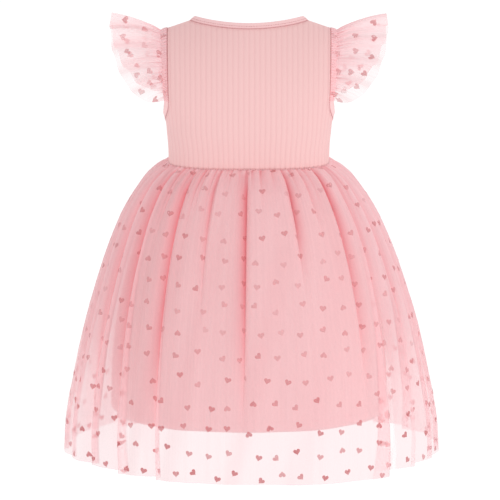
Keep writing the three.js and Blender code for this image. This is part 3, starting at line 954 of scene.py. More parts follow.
@dataclass
class EdgeRing:
    """A closed line of panel edge points, with the directions out of and past the cloth.

    Attributes:
        points: the edge's points, in millimetres.
        normals: out of the cloth at each point.
        onward: past the cloth's edge at each point, towards the opening's middle.
    """

    points: np.ndarray
    normals: np.ndarray
    onward: np.ndarray

    @classmethod
    def round_opening(cls, points: np.ndarray, normals: np.ndarray, centre: np.ndarray) -> "EdgeRing":
        """Finds the directions at each point of an opening's edge.

        Args:
            points: the edge's points in order.
            normals: the cloth's normals there.
            centre: the opening's middle.

        Returns:
            The ring.
        """
        normals = unit(cls.evened(normals, 4))
        run = unit(np.roll(points, -1, axis=0) - np.roll(points, 1, axis=0))
        onward = facing_out(unit(np.cross(run, normals)), centre - points)
        return cls(points, normals, unit(cls.evened(onward, 4)))

    @staticmethod
    def evened(vectors: np.ndarray, times: int) -> np.ndarray:
        """Vectors round a ring, each averaged with its neighbours some times."""
        for _ in range(times):
            vectors = (np.roll(vectors, 1, axis=0) + 2 * vectors + np.roll(vectors, -1, axis=0)) / 4
        return vectors

    def place(self, across: float | np.ndarray, out: float | np.ndarray) -> np.ndarray:
        """Points so far past the cloth's edge and so far out of its surface."""
        across = np.asarray(across, dtype=float)
        out = np.asarray(out, dtype=float)
        return self.points + self.onward * across[..., None] + self.normals * out[..., None]

    def lengths(self) -> np.ndarray:
        """How far each point lies from the first along the ring, with the whole length last."""
        return lengths_along(closed(self.points))


@dataclass
class NeckEdge:
    """The neckline's edge; over the shoulders the cloth past it leans up the neck.

    Attributes:
        form: the bodice's surface.
        lean: how far it leans over the shoulders.
        steps: points on each panel.
    """

    form: BodiceForm
    lean: float = 0.3
    steps: int = 132

    def ring(self) -> EdgeRing:
        """The edge, round the back and then the front."""
        form = self.form
        points, normals = [], []
        for face in (Face.BACK, Face.FRONT):
            start = -form.neck_column if face is Face.BACK else form.neck_column
            column = np.linspace(start, -start, self.steps + 1)[:-1]
            height = form.neckline(face, column)
            points.append(form.points(face, column, height))
            normals.append(form.normals(face, column, height))
        spots = np.concatenate(points)
        facing = np.concatenate(normals)
        for seam in (0, self.steps):
            facing[seam, 1] = 0
        ring = EdgeRing.round_opening(spots, unit(facing), np.array([0, 0, 10.0]))
        lean = self.lean * (ring.points[:, :1] / form.neck_x) ** 2
        onward = unit(ring.onward + ring.normals * lean)
        outward = unit(ring.normals - ring.onward * lean)
        return EdgeRing(ring.points, outward, onward)


@dataclass
class ArmholeEdge:
    """An armhole's edge, down the back, under the arm and up the front.

    Attributes:
        form: the bodice's surface.
        side: which armhole it is.
        rise_steps: points from the armhole's lower corner up to the shoulder.
        under_steps: points from that corner to the side seam.
    """

    form: BodiceForm
    side: Side
    rise_steps: int = 56
    under_steps: int = 30

    def half(self, face: Face) -> tuple[np.ndarray, np.ndarray]:
        """The edge of one panel, from the shoulder to the underarm.

        Args:
            face: the panel.

        Returns:
            The edge's points and the cloth's normals there.
        """
        form = self.form
        edge = np.array([float(form.armhole_column)])
        top = float(form.yoke_top(face, edge)[0])
        fall = 1 - np.linspace(0, 1, self.rise_steps + 1) ** 1.6
        rise = form.corner + (top - form.corner) * fall
        share = np.linspace(0, 1, self.under_steps + 1)[1:] ** 1.5
        out = form.armhole_column + (form.half_columns - form.armhole_column) * share
        column = self.side.value * np.concatenate([np.full(rise.shape, edge[0]), out])
        height = np.concatenate([rise, form.lower_top(out)])
        return form.points(face, column, height), form.normals(face, column, height)

    def ring(self) -> EdgeRing:
        """The whole edge."""
        back, back_normals = self.half(Face.BACK)
        front, front_normals = self.half(Face.FRONT)
        for normals in (back_normals, front_normals):
            normals[[0, -1], 1] = 0
        points = np.concatenate([back, front[-2:0:-1]])
        normals = unit(np.concatenate([back_normals, front_normals[-2:0:-1]]))
        return EdgeRing.round_opening(points, normals, np.array([self.side.value * 104.0, 0, -60]))


@dataclass
class Binding:
    """A folded strip of knit round an opening, softly rounded.

    Attributes:
        name: the piece's name.
        node: the model's node that it stands for.
        ring: the opening's edge.
        finishes: the dress's finishes.
        width: how far it reaches past the cloth's edge.
        plump: how far its middle stands out.
        flat_width: the width of the strip as cut, in metres.
    """

    name: str
    node: str
    ring: EdgeRing
    finishes: Finishes
    width: float = 8.3
    plump: float = 1.0
    flat_width: float = 0.018

    def profile(self) -> tuple[np.ndarray, np.ndarray]:
        """The strip's rounded outline, once round, from its sewn edge."""
        turn = np.linspace(0, 2 * math.pi, 21)
        across = self.width * (0.5 - 0.5 * np.cos(turn)) ** 0.8
        side = np.sin(turn)
        out = np.where(side > 0, self.plump * side**0.6, -0.55 * np.abs(side) ** 0.6) - 0.45
        return across + 0.15, out + 0.2

    def build(self) -> None:
        """Makes and dresses the strip."""
        across, out = self.profile()
        length = self.ring.lengths()
        crimp = 0.12 * np.sin(2 * math.pi * np.arange(len(self.ring.points)) / 4.0)
        rows = [self.ring.place(a, o + crimp * (a > 1)) for a, o in zip(across, out, strict=True)]
        points = np.stack([closed(row) for row in rows])
        flat = flat_places(length * MILLIMETRE, np.linspace(0, self.flat_width, len(across))[:, None])
        grid = ClothGrid(points, points.mean(axis=0, keepdims=True), ring=True)
        # Painted shade along the sewn edge, where the strip meets the bodice: its groove number darkens the
        # knit there.
        seam = smooth_step(np.broadcast_to(across[:, None], points.shape[:2]), 2.2, 0.2)
        piece = cloth_piece(self.name, grid, flat, {"groove": seam}, weld=True)
        dress_piece(piece, self.finishes.binding, Slot.BINDING, self.node)


@dataclass
class StitchRow:
    """A row of short stitches laid along a line on the cloth.

    Attributes:
        name: the piece's name.
        slot: the slot of the cloth that it holds.
        finish: the thread's finish.
        length: a stitch's length.
        spacing: from one stitch to the next.
        thickness: the thread's thickness.
    """

    name: str
    slot: Slot
    finish: Material
    length: float = 2.1
    spacing: float = 3.0
    thickness: float = 0.42

    def build(self, line: np.ndarray) -> None:
        """Sews along a line.

        Args:
            line: the line's points, in millimetres, in order.
        """
        reach = lengths_along(line)
        bm = bmesh.new()
        for start in np.arange(self.spacing / 2, reach[-1] - self.spacing / 2, self.spacing):
            ends = [
                Vector([float(np.interp(start + shift, reach, line[:, axis])) for axis in range(3)])
                for shift in (-self.length / 2, self.length / 2)
            ]
            turn = (ends[1] - ends[0]).to_track_quat("X", "Z").to_matrix().to_4x4()
            size = Matrix.Diagonal((self.length / 2, self.thickness / 2, self.thickness / 2, 1))
            place = Matrix.Translation((ends[0] + ends[1]) / 2) @ turn @ size
            bmesh.ops.create_icosphere(bm, subdivisions=1, radius=1, matrix=place)
        bmesh.ops.scale(bm, vec=(MILLIMETRE,) * 3, verts=bm.verts)
        dress_piece(add_to_scene(self.name, finished_mesh(self.name, bm)), self.finish, self.slot)


class Sewing(Enum):
    """Rows round an opening, by how far past the cloth's edge and how far out they lie."""

    BESIDE = (-2.0, 0.95)
    # The row in the ditch between binding and bodice, in dark thread: a painted shadow line.
    SEAM = (0.0, 0.62)
    TOPSTITCH = (3.4, 0.8)


@dataclass
class Bodice:
    """The bodice with its bindings and their sewing."""

    form: BodiceForm
    finishes: Finishes

    def build(self) -> None:
        """Makes every piece of the bodice."""
        for face in Face:
            BodicePanel(self.form, face, self.finishes).build()
            self.close_waist(face)
        neck = NeckEdge(self.form).ring()
        Binding("neck_binding_roll", "neck_binding", neck, self.finishes).build()
        self.sew("neck_stitches", neck, Sewing.BESIDE)
        for side in Side:
            ring = ArmholeEdge(self.form, side).ring()
            node = f"armhole_binding_{side.word}"
            Binding(f"{node}_roll", node, ring, self.finishes, plump=0.7).build()
            self.sew(f"armhole_stitches_{side.word}", ring, Sewing.BESIDE)
            # A dark row in the ditch beside the binding: a painted shadow line.
            self.sew(f"armhole_seam_{side.word}", ring, Sewing.SEAM)
        # A dark row in the ditch beside the neck binding: a painted shadow line.
        self.sew("neck_seam_shadow_line", neck, Sewing.SEAM)
        self.sew("neck_topstitch", neck, Sewing.TOPSTITCH)

    def sew(self, name: str, ring: EdgeRing, sewing: Sewing) -> None:
        """Sews round an opening, beside the binding or, in close darker stitches, on it; the dark row in
        the ditch is a painted shadow line.

        Args:
            name: the row's name.
            ring: the opening's edge.
            sewing: which row it is.
        """
        row = StitchRow(name, Slot.BINDING, self.finishes.seam, length=3.1, thickness=0.46)
        if sewing is Sewing.BESIDE:
            row = StitchRow(name, Slot.KNIT, self.finishes.thread)
        row.build(closed(ring.place(*sewing.value)))

    def close_waist(self, face: Face) -> None:
        """Sews a row of stitches along the waist seam, on the knit's lower edge."""
        half = self.form.half_columns
        column = np.linspace(-half + 0.3, half - 0.3, 240)
        height = np.full(column.shape, self.form.waist + 0.2)
        line = self.form.points(face, column, height) + 0.9 * self.form.normals(face, column, height)
        row = StitchRow(f"waist_stitches_{face.word}", Slot.KNIT, self.finishes.thread, 2.8, thickness=1.0)
        row.build(line)


# The net


@dataclass(frozen=True)
class HeartPrint:
    """Small hearts tossed over a cloth.

    Attributes:
        width: a heart's width.
        across: from one heart to the next in a row.
        down: from one row of hearts to the next.
        jitter: how far a heart strays from its place, as a share of the spacing.
        lift: how far it lies above the cloth.
        corners: the corners of its outline.
    """

    width: float = 8.3
    across: float = 27.0
    down: float = 29.0
    jitter: float = 0.2
    lift: float = 0.25
    corners: int = 28

    def outline(self, corner: np.ndarray) -> np.ndarray:
        """The heart's outline at some angles, about its middle, in millimetres."""
        x = 16 * np.sin(corner) ** 3
        y = 13 * np.cos(corner) - 5 * np.cos(2 * corner) - 2 * np.cos(3 * corner) - np.cos(4 * corner)
        return np.stack([x, y + 2.5], axis=-1) * self.width / 32

    def spots(self, grid: ClothGrid, seed: int) -> list[tuple[float, float, float, float]]:
        """Chooses the hearts' places.

        Args:
            grid: the cloth.
            seed: which of the tossed layouts.

        Returns:
            The row, column, angle and strength of each heart.
        """
        random = np.random.default_rng(seed)
        down = grid.lengths_down()
        found = []
        for line, at in enumerate(np.arange(self.down * 0.35, down[-1] + 2, self.down)):
            row = float(np.interp(at, down, np.arange(len(down))))
            across = grid.lengths_across(int(round(row)))
            start = self.across * (0.25 + 0.5 * (line % 2) + 0.1 * random.uniform(-1, 1))
            for place in np.arange(start, across[-1], self.across):
                stray = self.jitter * random.uniform(-1, 1, 2) * (self.across, self.down)
                column = float(np.interp(place + stray[0], across, np.arange(len(across))))
                strayed = float(np.interp(at + stray[1], down, np.arange(len(down))))
                angle = random.choice([-0.5, 0.0, 0.0, 0.6, math.pi]) + random.uniform(-0.3, 0.3)
                low = float(smooth_step(np.array(at / down[-1]), 0.55, 0.95))
                power = random.uniform(0.16 + 0.47 * low, 0.52 + 0.46 * low)
                found.append((strayed, column, angle, power))
        return found

    def build(self, name: str, grid: ClothGrid, finishes: Finishes, seed: int) -> Object:
        """Prints the hearts on a cloth.

        Args:
            name: the piece's name.
            grid: the cloth.
            finishes: the dress's finishes.
            seed: which of the tossed layouts.

        Returns:
            The hearts as one piece.
        """
        raised = grid.moved(np.full(grid.points.shape[:2], self.lift))
        bm = bmesh.new()
        strength = bm.verts.layers.float.new("strength")
        for row, column, angle, power in self.spots(grid, seed):
            made = bmesh.ops.create_circle(
                bm, cap_ends=True, cap_tris=True, segments=self.corners, radius=1
            )
            verts = made["verts"]
            flat = np.array([vert.co[:2] for vert in verts])
            rim = np.linalg.norm(flat, axis=1) > 0.5
            shape = np.where(rim[:, None], self.outline(np.arctan2(flat[:, 0], flat[:, 1])), 0)
            turn = np.array([[math.cos(angle), -math.sin(angle)], [math.sin(angle), math.cos(angle)]])
            points = self.laid(raised, row, column, shape @ turn.T) * MILLIMETRE
            if np.ptp(points, axis=0).max() > 1.35 * self.width * MILLIMETRE:
                bmesh.ops.delete(bm, geom=verts, context="VERTS")
                continue
            for vert, point in zip(verts, points, strict=True):
                vert.co = point
                vert[strength] = power
        piece = add_to_scene(name, finished_mesh(name, bm))
        dress_piece(piece, finishes.hearts, Slot.NET)
        return piece

    @staticmethod
    def laid(grid: ClothGrid, row: float, column: float, shape: np.ndarray) -> np.ndarray:
        """Lays a flat shape on the cloth about one of its points.

        Args:
            grid: the cloth.
            row: the point's row.
            column: its column.
            shape: the shape's points, across and up, in millimetres.

        Returns:
            The shape's points on the cloth.
        """
        near_rows = row + np.array([0, 0, -0.5, 0.5])
        near_columns = column + np.array([-0.5, 0.5, 0, 0])
        ends = grid.sample(near_rows, near_columns)
        across, down = ends[1] - ends[0], ends[3] - ends[2]
        right = unit(across)
        low = unit(down - right * (down @ right))
        rows = shape @ np.array([[0.0], [-1.0]])
        rows = rows[:, 0] / max(down @ low, 1e-6)
        columns = (shape[:, 0] - rows * (down @ right)) / max(across @ right, 1e-6)
        return grid.sample(row + rows, column + columns)


@dataclass(frozen=True)
class SkirtSection:
    """A skirt layer's size at a distance down its cloth."""

    along: float
    drop: float
    half_width: float
    half_depth: float
    drift: float = 0


NET_SECTIONS = (
    SkirtSection(0, 0, 97, 57),
    SkirtSection(7, 1, 103.5, 63.5),
    SkirtSection(14, 3.5, 109, 69),
    SkirtSection(25, 10, 118, 78),
    SkirtSection(42, 22, 130, 90),
    SkirtSection(72, 47, 147, 107, 0.5),
    SkirtSection(100, 72, 160, 120, 1),
    SkirtSection(154, 122, 180, 141, 2),
    SkirtSection(231, 196, 203, 162, 3),
    SkirtSection(307, 270, 219, 175, 3),
    SkirtSection(357, 320, 228, 181, 3),
    SkirtSection(397, 360, 230, 183, 3),
)

LINING_SECTIONS = (
    SkirtSection(0, 0, 95.8, 55.8),
    SkirtSection(5, 5, 96.2, 56.2),
    SkirtSection(35, 30, 111, 71),
    SkirtSection(100, 90, 135, 98),
    SkirtSection(173, 160, 155, 124),
    SkirtSection(225, 210, 164, 139),
    SkirtSection(275, 260, 168, 148),
    SkirtSection(318, 303, 168.5, 152),
)


@dataclass
class SkirtForm:
    """The smooth surface of a skirt layer.

    Attributes:
        sections: its sizes down the cloth.
        hem_squareness: how square its hem's section is.
        waist_squareness: how square its waist's section is.
        top: the height of its upper edge.
    """

    sections: tuple[SkirtSection, ...]
    hem_squareness: float
    waist_squareness: float = 2.8
    top: float = -168.3

    @property
    def length(self) -> float:
        """The cloth's length."""
        return self.sections[-1].along

    def points(self, face: Face, share: np.ndarray, along: np.ndarray) -> np.ndarray:
        """Points of the surface.

        Args:
            face: the panel.
            share: rows by columns, from -1 to 1 between the side seams.
            along: each row's distance down the cloth.

        Returns:
            The points, in millimetres.
        """
        sizes = ("drop", "half_width", "half_depth", "drift")
        read = {name: smooth_rows(self.sections, "along", name, along) for name in sizes}
        settled = np.sqrt(np.minimum(along / self.length, 1))
        squareness = self.waist_squareness + (self.hem_squareness - self.waist_squareness) * settled
        arcs = quarter_arcs(read["half_width"], read["half_depth"], squareness)
        points = np.empty((*share.shape, 3))
        for row, arc in enumerate(arcs):
            length = np.abs(share[row]) * arc[-1, 2]
            x = np.interp(length, arc[:, 2], arc[:, 0])
            depth = np.interp(length, arc[:, 2], arc[:, 1])
            beyond = np.maximum(length - arc[-1, 2], 0)
            points[row, :, 0] = np.sign(share[row]) * x + read["drift"][row]
            points[row, :, 1] = face.value * (depth - beyond)
            points[row, :, 2] = self.top - read["drop"][row]
        return points


@dataclass(frozen=True)
class Crease:
    """A crease of the net skirt.

    Attributes:
        waist: its share of the way from the middle to a side seam at the waist.
        hem: the same at the hem.
        depth: how deep it is.
        reach: the share of the skirt's length over which it lasts.
        steep_side: the side on which the cloth rises at once, 1 for the right.
        hem_before: how much lower the hem hangs on its left.
        hem_after: how much lower the hem hangs on its right.
        overlap: how far the cloth folds over it at the hem, as a share.
        gap: how much thinner a strip of net lies beside the fold, 1 for the most.
    """

    waist: float
    hem: float
    depth: float
    reach: float
    steep_side: int
    hem_before: float = 0
    hem_after: float = 0
    overlap: float = 0
    gap: float = 0

    def turned(self, shift: float, scale: float) -> "Crease":
        """The same crease seen from the dress's other face, a little moved and shallower."""
        move = shift * (1 - self.waist**2)
        edge = abs(self.waist) == 1
        return replace(
            self,
            waist=move - self.waist,
            hem=move - self.hem,
            depth=self.depth if edge else scale * self.depth,
            steep_side=-self.steep_side,
            hem_before=self.hem_after,
            hem_after=self.hem_before,
        )


CREASES = (
    Crease(-1, -1, 6, 1.4, 1, -1, -1),
    Crease(-0.9, -0.84, 6, 1.4, 1, -3, -2, 0.012),
    Crease(-0.79, -0.69, 12, 1.4, 1, -4, -4, 0.014),
    Crease(-0.67, -0.535, 10, 1.4, 1, -4, -1, 0.034),
    Crease(-0.57, -0.46, 4, 0.4, 1, -2, -2),
    Crease(-0.463, -0.372, 10, 1.4, 1, -3, 0, 0.014),
    Crease(-0.357, -0.3, 4, 0.25, 1),
    Crease(-0.253, -0.21, 5, 0.6, 1, 0, 0, 0.012),
    Crease(-0.13, -0.125, 4, 0.2, 1),
    Crease(0, -0.04, 11, 0.9, 1, 0, 0, 0.008),
    Crease(0.13, 0.07, 4, 0.22, -1),
    Crease(0.3, 0.22, 9.5, 0.5, -1, 2, 2),
    Crease(0.44, 0.34, 5, 0.35, -1, 3, 3),
    Crease(0.575, 0.456, 8, 0.85, -1, 3, 3),
    Crease(0.69, 0.562, 6, 1.4, -1, 4, -5, 0.075, 1),
    Crease(0.8, 0.71, 5, 1.4, -1, 0, -4, 0.02),
    Crease(0.9, 0.85, 6, 1.4, -1, -1, -2, 0.015),
    Crease(1, 1, 6, 1.4, -1),
)


@dataclass
class FoldLayout:
    """How a net panel lies over its creases, as rows by columns.

    Attributes:
        share: the share of the way from the middle to the side seam.
        inward: how deep in a crease, in millimetres.
        level: how much lower the hem hangs there, in millimetres.
        dark: how darkly it is folded, as painted shade, partly the deeper colour of layered net.
        hidden: how far it is hidden under a fold.
    """

    share: np.ndarray
    inward: np.ndarray
    level: np.ndarray
    dark: np.ndarray
    hidden: np.ndarray


@dataclass
class NetPanel:
    """The back or front of the gathered net skirt.

    Attributes:
        face: which panel it is.
        finishes: the dress's finishes.
        form: its smooth surface.
        steps: columns between two creases.
        rows: rows from waist to hem.
        steep_reach: the share between two creases over which the steep side rises.
        soft_reach: the same for the soft side.
        fold_reach: the same for the cloth that doubles back under a fold.
        growth: how far down a crease takes to reach its depth.
        fade: the share of the length over which it fades.
        dark_edge: the share between two creases that gets painted shade on a crease's steep side.
        dark_reach: the same for its soft side.
        waist_shade: how strongly a crease's painted shade starts at the waist.
        shade_loss: how much of its painted shade it has lost at the hem.
        hem_closeness: how much of the view a single layer's threads fill at the hem.
        print: the hearts.
    """

    face: Face
    finishes: Finishes
    form: SkirtForm = field(default_factory=lambda: SkirtForm(NET_SECTIONS, 2.0))
    steps: int = 26
    rows: int = 112
    steep_reach: float = 0.26
    soft_reach: float = 0.6
    fold_reach: float = 0.1
    growth: float = 60
    fade: float = 0.3
    dark_edge: float = 0.05
    dark_reach: float = 0.6
    waist_shade: float = 0.52
    shade_loss: float = 0.9
    hem_closeness: float = 0.36
    print: HeartPrint = field(default_factory=HeartPrint)

    def creases(self) -> list[Crease]:
        """This face's creases from left to right."""
        if self.face is Face.BACK:
            return list(CREASES)
        return [crease.turned(0.03, 0.9) for crease in reversed(CREASES)]

    def lasting(self, crease: Crease, along: np.ndarray) -> np.ndarray:
        """How much of a crease is left down the cloth, from 1 to 0."""
        return 1 - smooth_step(along / self.form.length, crease.reach - self.fade, crease.reach)

    def depth(self, crease: Crease, along: np.ndarray) -> np.ndarray:
        """How deep a crease is down the cloth."""
        growth = smooth_step(along, 0, self.growth)
        start = 0.25 * smooth_step(along, 0, self.growth / 6)
        return crease.depth * np.maximum(growth, start) * self.lasting(crease, along)

    def overlap(self, crease: Crease, along: np.ndarray) -> np.ndarray:
        """How far the cloth folds over a crease down the cloth, as a share."""
        growth = np.clip(along / self.form.length, 0, 1) ** 1.8
        return crease.overlap * growth * self.lasting(crease, along)

    def shade(self, crease: Crease, along: np.ndarray) -> np.ndarray:
        """How strongly a crease's painted shade shows down the cloth, from 0 to about 1."""
        share = along / self.form.length
        opened = self.waist_shade + (1 - self.waist_shade) * smooth_step(along, 4, 45)
        reach = min(crease.reach, 1)
        fade = 1 - self.shade_loss * smooth_step(share, 0.35 * reach, reach)
        return min(crease.depth / 11, 1.05) * opened * fade * self.lasting(crease, along)

    def folds(self, down: np.ndarray) -> FoldLayout:
        """Works out how the cloth lies over its creases.

        Args:
            down: each row's distance down the cloth.

        Returns:
            The layout of the folds.
        """
        creases = self.creases()
        settled = np.sqrt(down / self.form.length)
        parts = []
        for left, right in zip(creases[:-1], creases[1:], strict=True):
            count = self.steps + 1 if right is creases[-1] else self.steps
            step = (np.arange(count) / self.steps)[None, :]
            waist = left.waist + (right.waist - left.waist) * step
            hem = left.hem + (right.hem - left.hem) * step
            share = waist + (hem - waist) * settled
            inward, dark, hidden = (np.zeros_like(share) for _ in range(3))
            for crease, distance, sign in ((left, step, 1), (right, 1 - step, -1)):
                steep = crease.steep_side == sign
                folded = self.overlap(crease, down)
                sharp = smooth_step(folded, 0, 0.01)
                reach = self.steep_reach if steep else self.soft_reach
                weight = np.maximum(1 - distance / reach, 0) ** 2
                if steep:
                    crisp = np.maximum(1 - distance / self.fold_reach, 0) ** 1.5
                    weight = weight * (1 - sharp) + crisp * sharp
                inward += self.depth(crease, down) * weight
                # Painted fold shade: narrow on a crease's steep side; on its soft side wider on one hand
                # than the other, to follow which way the light falls.
                wide = self.dark_reach * (1.35 if crease.steep_side == self.face.value * -1 else 0.85)
                spread = self.dark_edge if steep else wide
                dark += self.shade(crease, down) * np.maximum(1 - distance / spread, 0) ** 1.4
                turn = self.fold_reach if steep else 0.45
                share = share + crease.steep_side * folded * smooth_step(distance, turn, 0)
                line = crease.waist + (crease.hem - crease.waist) * settled
                past = crease.steep_side * (share - line)
                under = (distance < turn) if steep else smooth_step(past, 0, 0.008)
                hidden += smooth_step(folded, 0.004, 0.02) * under
                strip = smooth_step(-past, 0, 0.004) * (1 - smooth_step(-past, 0.012, 0.02))
                if not steep:
                    hidden += 1.5 * crease.gap * strip * smooth_step(down / self.form.length, 0.38, 0.6)
            level = left.hem_after + (right.hem_before - left.hem_after) * step
            level = np.where(step == 0, left.hem_before, level)
            parts.append((share, inward, np.broadcast_to(level, share.shape), dark, hidden))
        return FoldLayout(*(np.concatenate(part, axis=1) for part in zip(*parts, strict=True)))

    def gathers(self, columns: int, down: np.ndarray) -> tuple[np.ndarray, np.ndarray]:
        """The small gathers at the waist, and the wider ones that they run into, from about -1 to 1."""
        place = evenly(columns)
        seed = 20 + self.face.value
        fine = ripples(place, 54, seed) * smooth_step(down, 0, 4) * np.exp(-down / 14)
        wide = ripples(place, 27, seed + 4) * smooth_step(down, 2, 16) * np.exp(-down / 50)
        return fine, wide

    def tucks(self, columns: int, down: np.ndarray) -> np.ndarray:
        """The uneven tucks that the gathering draws in at the waist.

        Args:
            columns: the panel's columns.
            down: each row's distance down the cloth.

        Returns:
            How deep in a tuck each point lies, from 0 to about 1.
        """
        place = evenly(columns)
        random = np.random.default_rng(90 + self.face.value)
        depth = np.zeros((len(down), columns))
        at = 0.012
        while at < 0.99:
            width = random.uniform(0.016, 0.032)
            length = random.choice([10, 16, 26, 44, 80]) * random.uniform(0.8, 1.2)
            past = (place - at) * (1 if at < 0.5 else -1)
            profile = np.where(past > 0, 1 - past / (0.2 * width), 1 + past / width)
            run = smooth_step(down, 0, 1.5) * np.exp(-((down / length) ** 1.4))
            depth += random.uniform(0.55, 1.25) * np.maximum(profile, 0) ** 1.3 * run
            at += random.uniform(0.016, 0.042)
        return np.minimum(depth, 1.2)

    def grid(self) -> tuple[ClothGrid, np.ndarray, dict[str, np.ndarray]]:
        """Lays out the panel.

        Returns:
            Its points, each point's place on the flat net, and its closeness and painted fold shade.
        """
        length = self.form.length
        along = length * np.linspace(0, 1, self.rows + 1) ** 1.35
        down = along[:, None]
        layout = self.folds(down)
        smooth = self.form.points(self.face, np.clip(layout.share, -1, 1), along)
        smooth[..., 2] -= layout.level * smooth_step(down / length, 0.55, 1)
        smooth[..., 2] += self.puff(layout.share, down)
        inside = on_axis(smooth[:, 0, 2] - 60)[:, None]
        columns = layout.share.shape[1]
        out = self.unevenness(columns, down) - layout.inward
        normals = self.form_normals(layout.share, along)
        grid = ClothGrid(kept_to_face(smooth + normals * out[..., None], self.face), inside)
        dark = self.painted_fold_shade(layout, down)
        layers = {"closeness": self.closeness(layout, down, dark), "fold": dark}
        return grid, flat_places(np.linspace(0, 0.66, columns), down * MILLIMETRE), layers

    def puff(self, share: np.ndarray, down: np.ndarray) -> np.ndarray:
        """How far the gathers puff up beside the waist seam, and how far the sides hang below it."""
        place = evenly(share.shape[1])
        uneven = 0.65 + 0.35 * ripples(place, 60, 51 + self.face.value)
        puffed = 1.9 * uneven * smooth_step(down, 0, 2.2) * np.exp(-down / 7)
        hung = smooth_step(np.abs(share), 0.72, 0.98) * smooth_step(down, 0, 6) * np.exp(-down / 45)
        return puffed - 4 * hung

    def form_normals(self, share: np.ndarray, along: np.ndarray) -> np.ndarray:
        """Unit normals of the smooth surface, at shares that may double back."""
        steady = np.clip(share, -0.999, 0.999)
        right = self.form.points(self.face, steady + 0.001, along)
        left = self.form.points(self.face, steady - 0.001, along)
        low = np.clip(along + 1.5, 0, self.form.length)
        high = np.clip(along - 1.5, 0, self.form.length)
        down = self.form.points(self.face, steady, low) - self.form.points(self.face, steady, high)
        at = self.form.points(self.face, steady, along)
        return facing_out(unit(np.cross(right - left, down)), at - on_axis(at[..., 2] - 60))

    def unevenness(self, columns: int, down: np.ndarray) -> np.ndarray:
        """Small gathers at the waist and soft waves below them, as distances out."""
        place = evenly(columns)
        seed = 20 + self.face.value
        edge = smooth_step(np.minimum(place, 1 - place), 0, 0.02)
        fine, wide = self.gathers(columns, down)
        gathered = 0.5 * fine + 1.0 * wide - 2.2 * self.tucks(columns, down)
        long = 0.8 * ripples(place + 0.02 * down / 397, 15, seed + 8) * smooth_step(down, 40, 160)
        sway = 1.3 * ripples(place + down / 1900, 6, seed + 12) * smooth_step(down, 90, 300)
        crumple = 0.15 * ripples(place * 1.3 + down / 240, 40, seed + 16) * smooth_step(down, 10, 60)
        return (gathered + long + sway + crumple) * edge

    def painted_fold_shade(self, layout: FoldLayout, down: np.ndarray) -> np.ndarray:
        """How deep in a fold or gather each point lies, as painted shade, partly the deeper colour of
        layered net, from 0 to 1.
        """
        fine, wide = self.gathers(layout.share.shape[1], down)
        # Painted shade in the valleys of the gathers.
        valley_shade = 0.3 * np.clip(-fine, 0, 1.1) ** 2 + 0.22 * np.clip(-wide, 0, 1.1) ** 2
        sides = smooth_step(np.abs(layout.share), 0.6, 0.9)
        place = evenly(layout.share.shape[1])
        # Soft, wide bands of painted shade lower down the skirt.
        soft = 0.16 * np.clip(ripples(place + down / 2600, 9, 33), 0, 1) * smooth_step(down, 60, 140)
        opened = 0.3 + 0.7 * smooth_step(down, 2, 16)
        # Painted shade from creases, valleys, soft bands and the waist's tucks, less at the sides.
        folded = (layout.dark + valley_shade) * opened + soft + 0.68 * self.tucks(layout.share.shape[1], down)
        return np.clip(folded * (1 - 0.6 * sides), 0, 1)

    def closeness(self, layout: FoldLayout, down: np.ndarray, dark: np.ndarray) -> np.ndarray:
        """How much of the view the net's threads fill.

        Args:
            layout: the layout of the folds.
            down: each row's distance down the cloth.
            dark: how deep in a fold each point lies, as painted shade.

        Returns:
            The share of the view: more at the waist, at the sides and in folds.
        """
        left = np.clip(1 - down / self.form.length, 0, 1)
        open_net = self.hem_closeness + 0.08 * left**1.5 + 0.15 * np.exp(-down / 40)
        low = smooth_step(down / self.form.length, 0.35, 0.9)
        sides = 0.25 * smooth_step(np.abs(layout.share), 0.45, 0.72) * (1 - low)
        place = evenly(layout.share.shape[1])
        streaks = 1 + 0.04 * ripples(place, 44, 71 + self.face.value) + 0.02 * ripples(place, 95, 72)
        close = (open_net + sides) * streaks * (1 - 0.62 * np.clip(layout.hidden, 0, 1.35))
        return np.clip(close + (0.92 - close) * 0.8 * dark, 0.1, 0.95)

    def build(self) -> None:
        """Makes and dresses the panel and its hearts."""
        grid, flat, layers = self.grid()
        node = f"skirt_net_{self.face.word}"
        piece = cloth_piece(f"{node}_gathers", grid, flat, layers)
        dress_piece(piece, self.finishes.net, Slot.NET, node)
        hearts = self.print.build(f"{node}_hearts", grid, self.finishes, 40 + self.face.value)


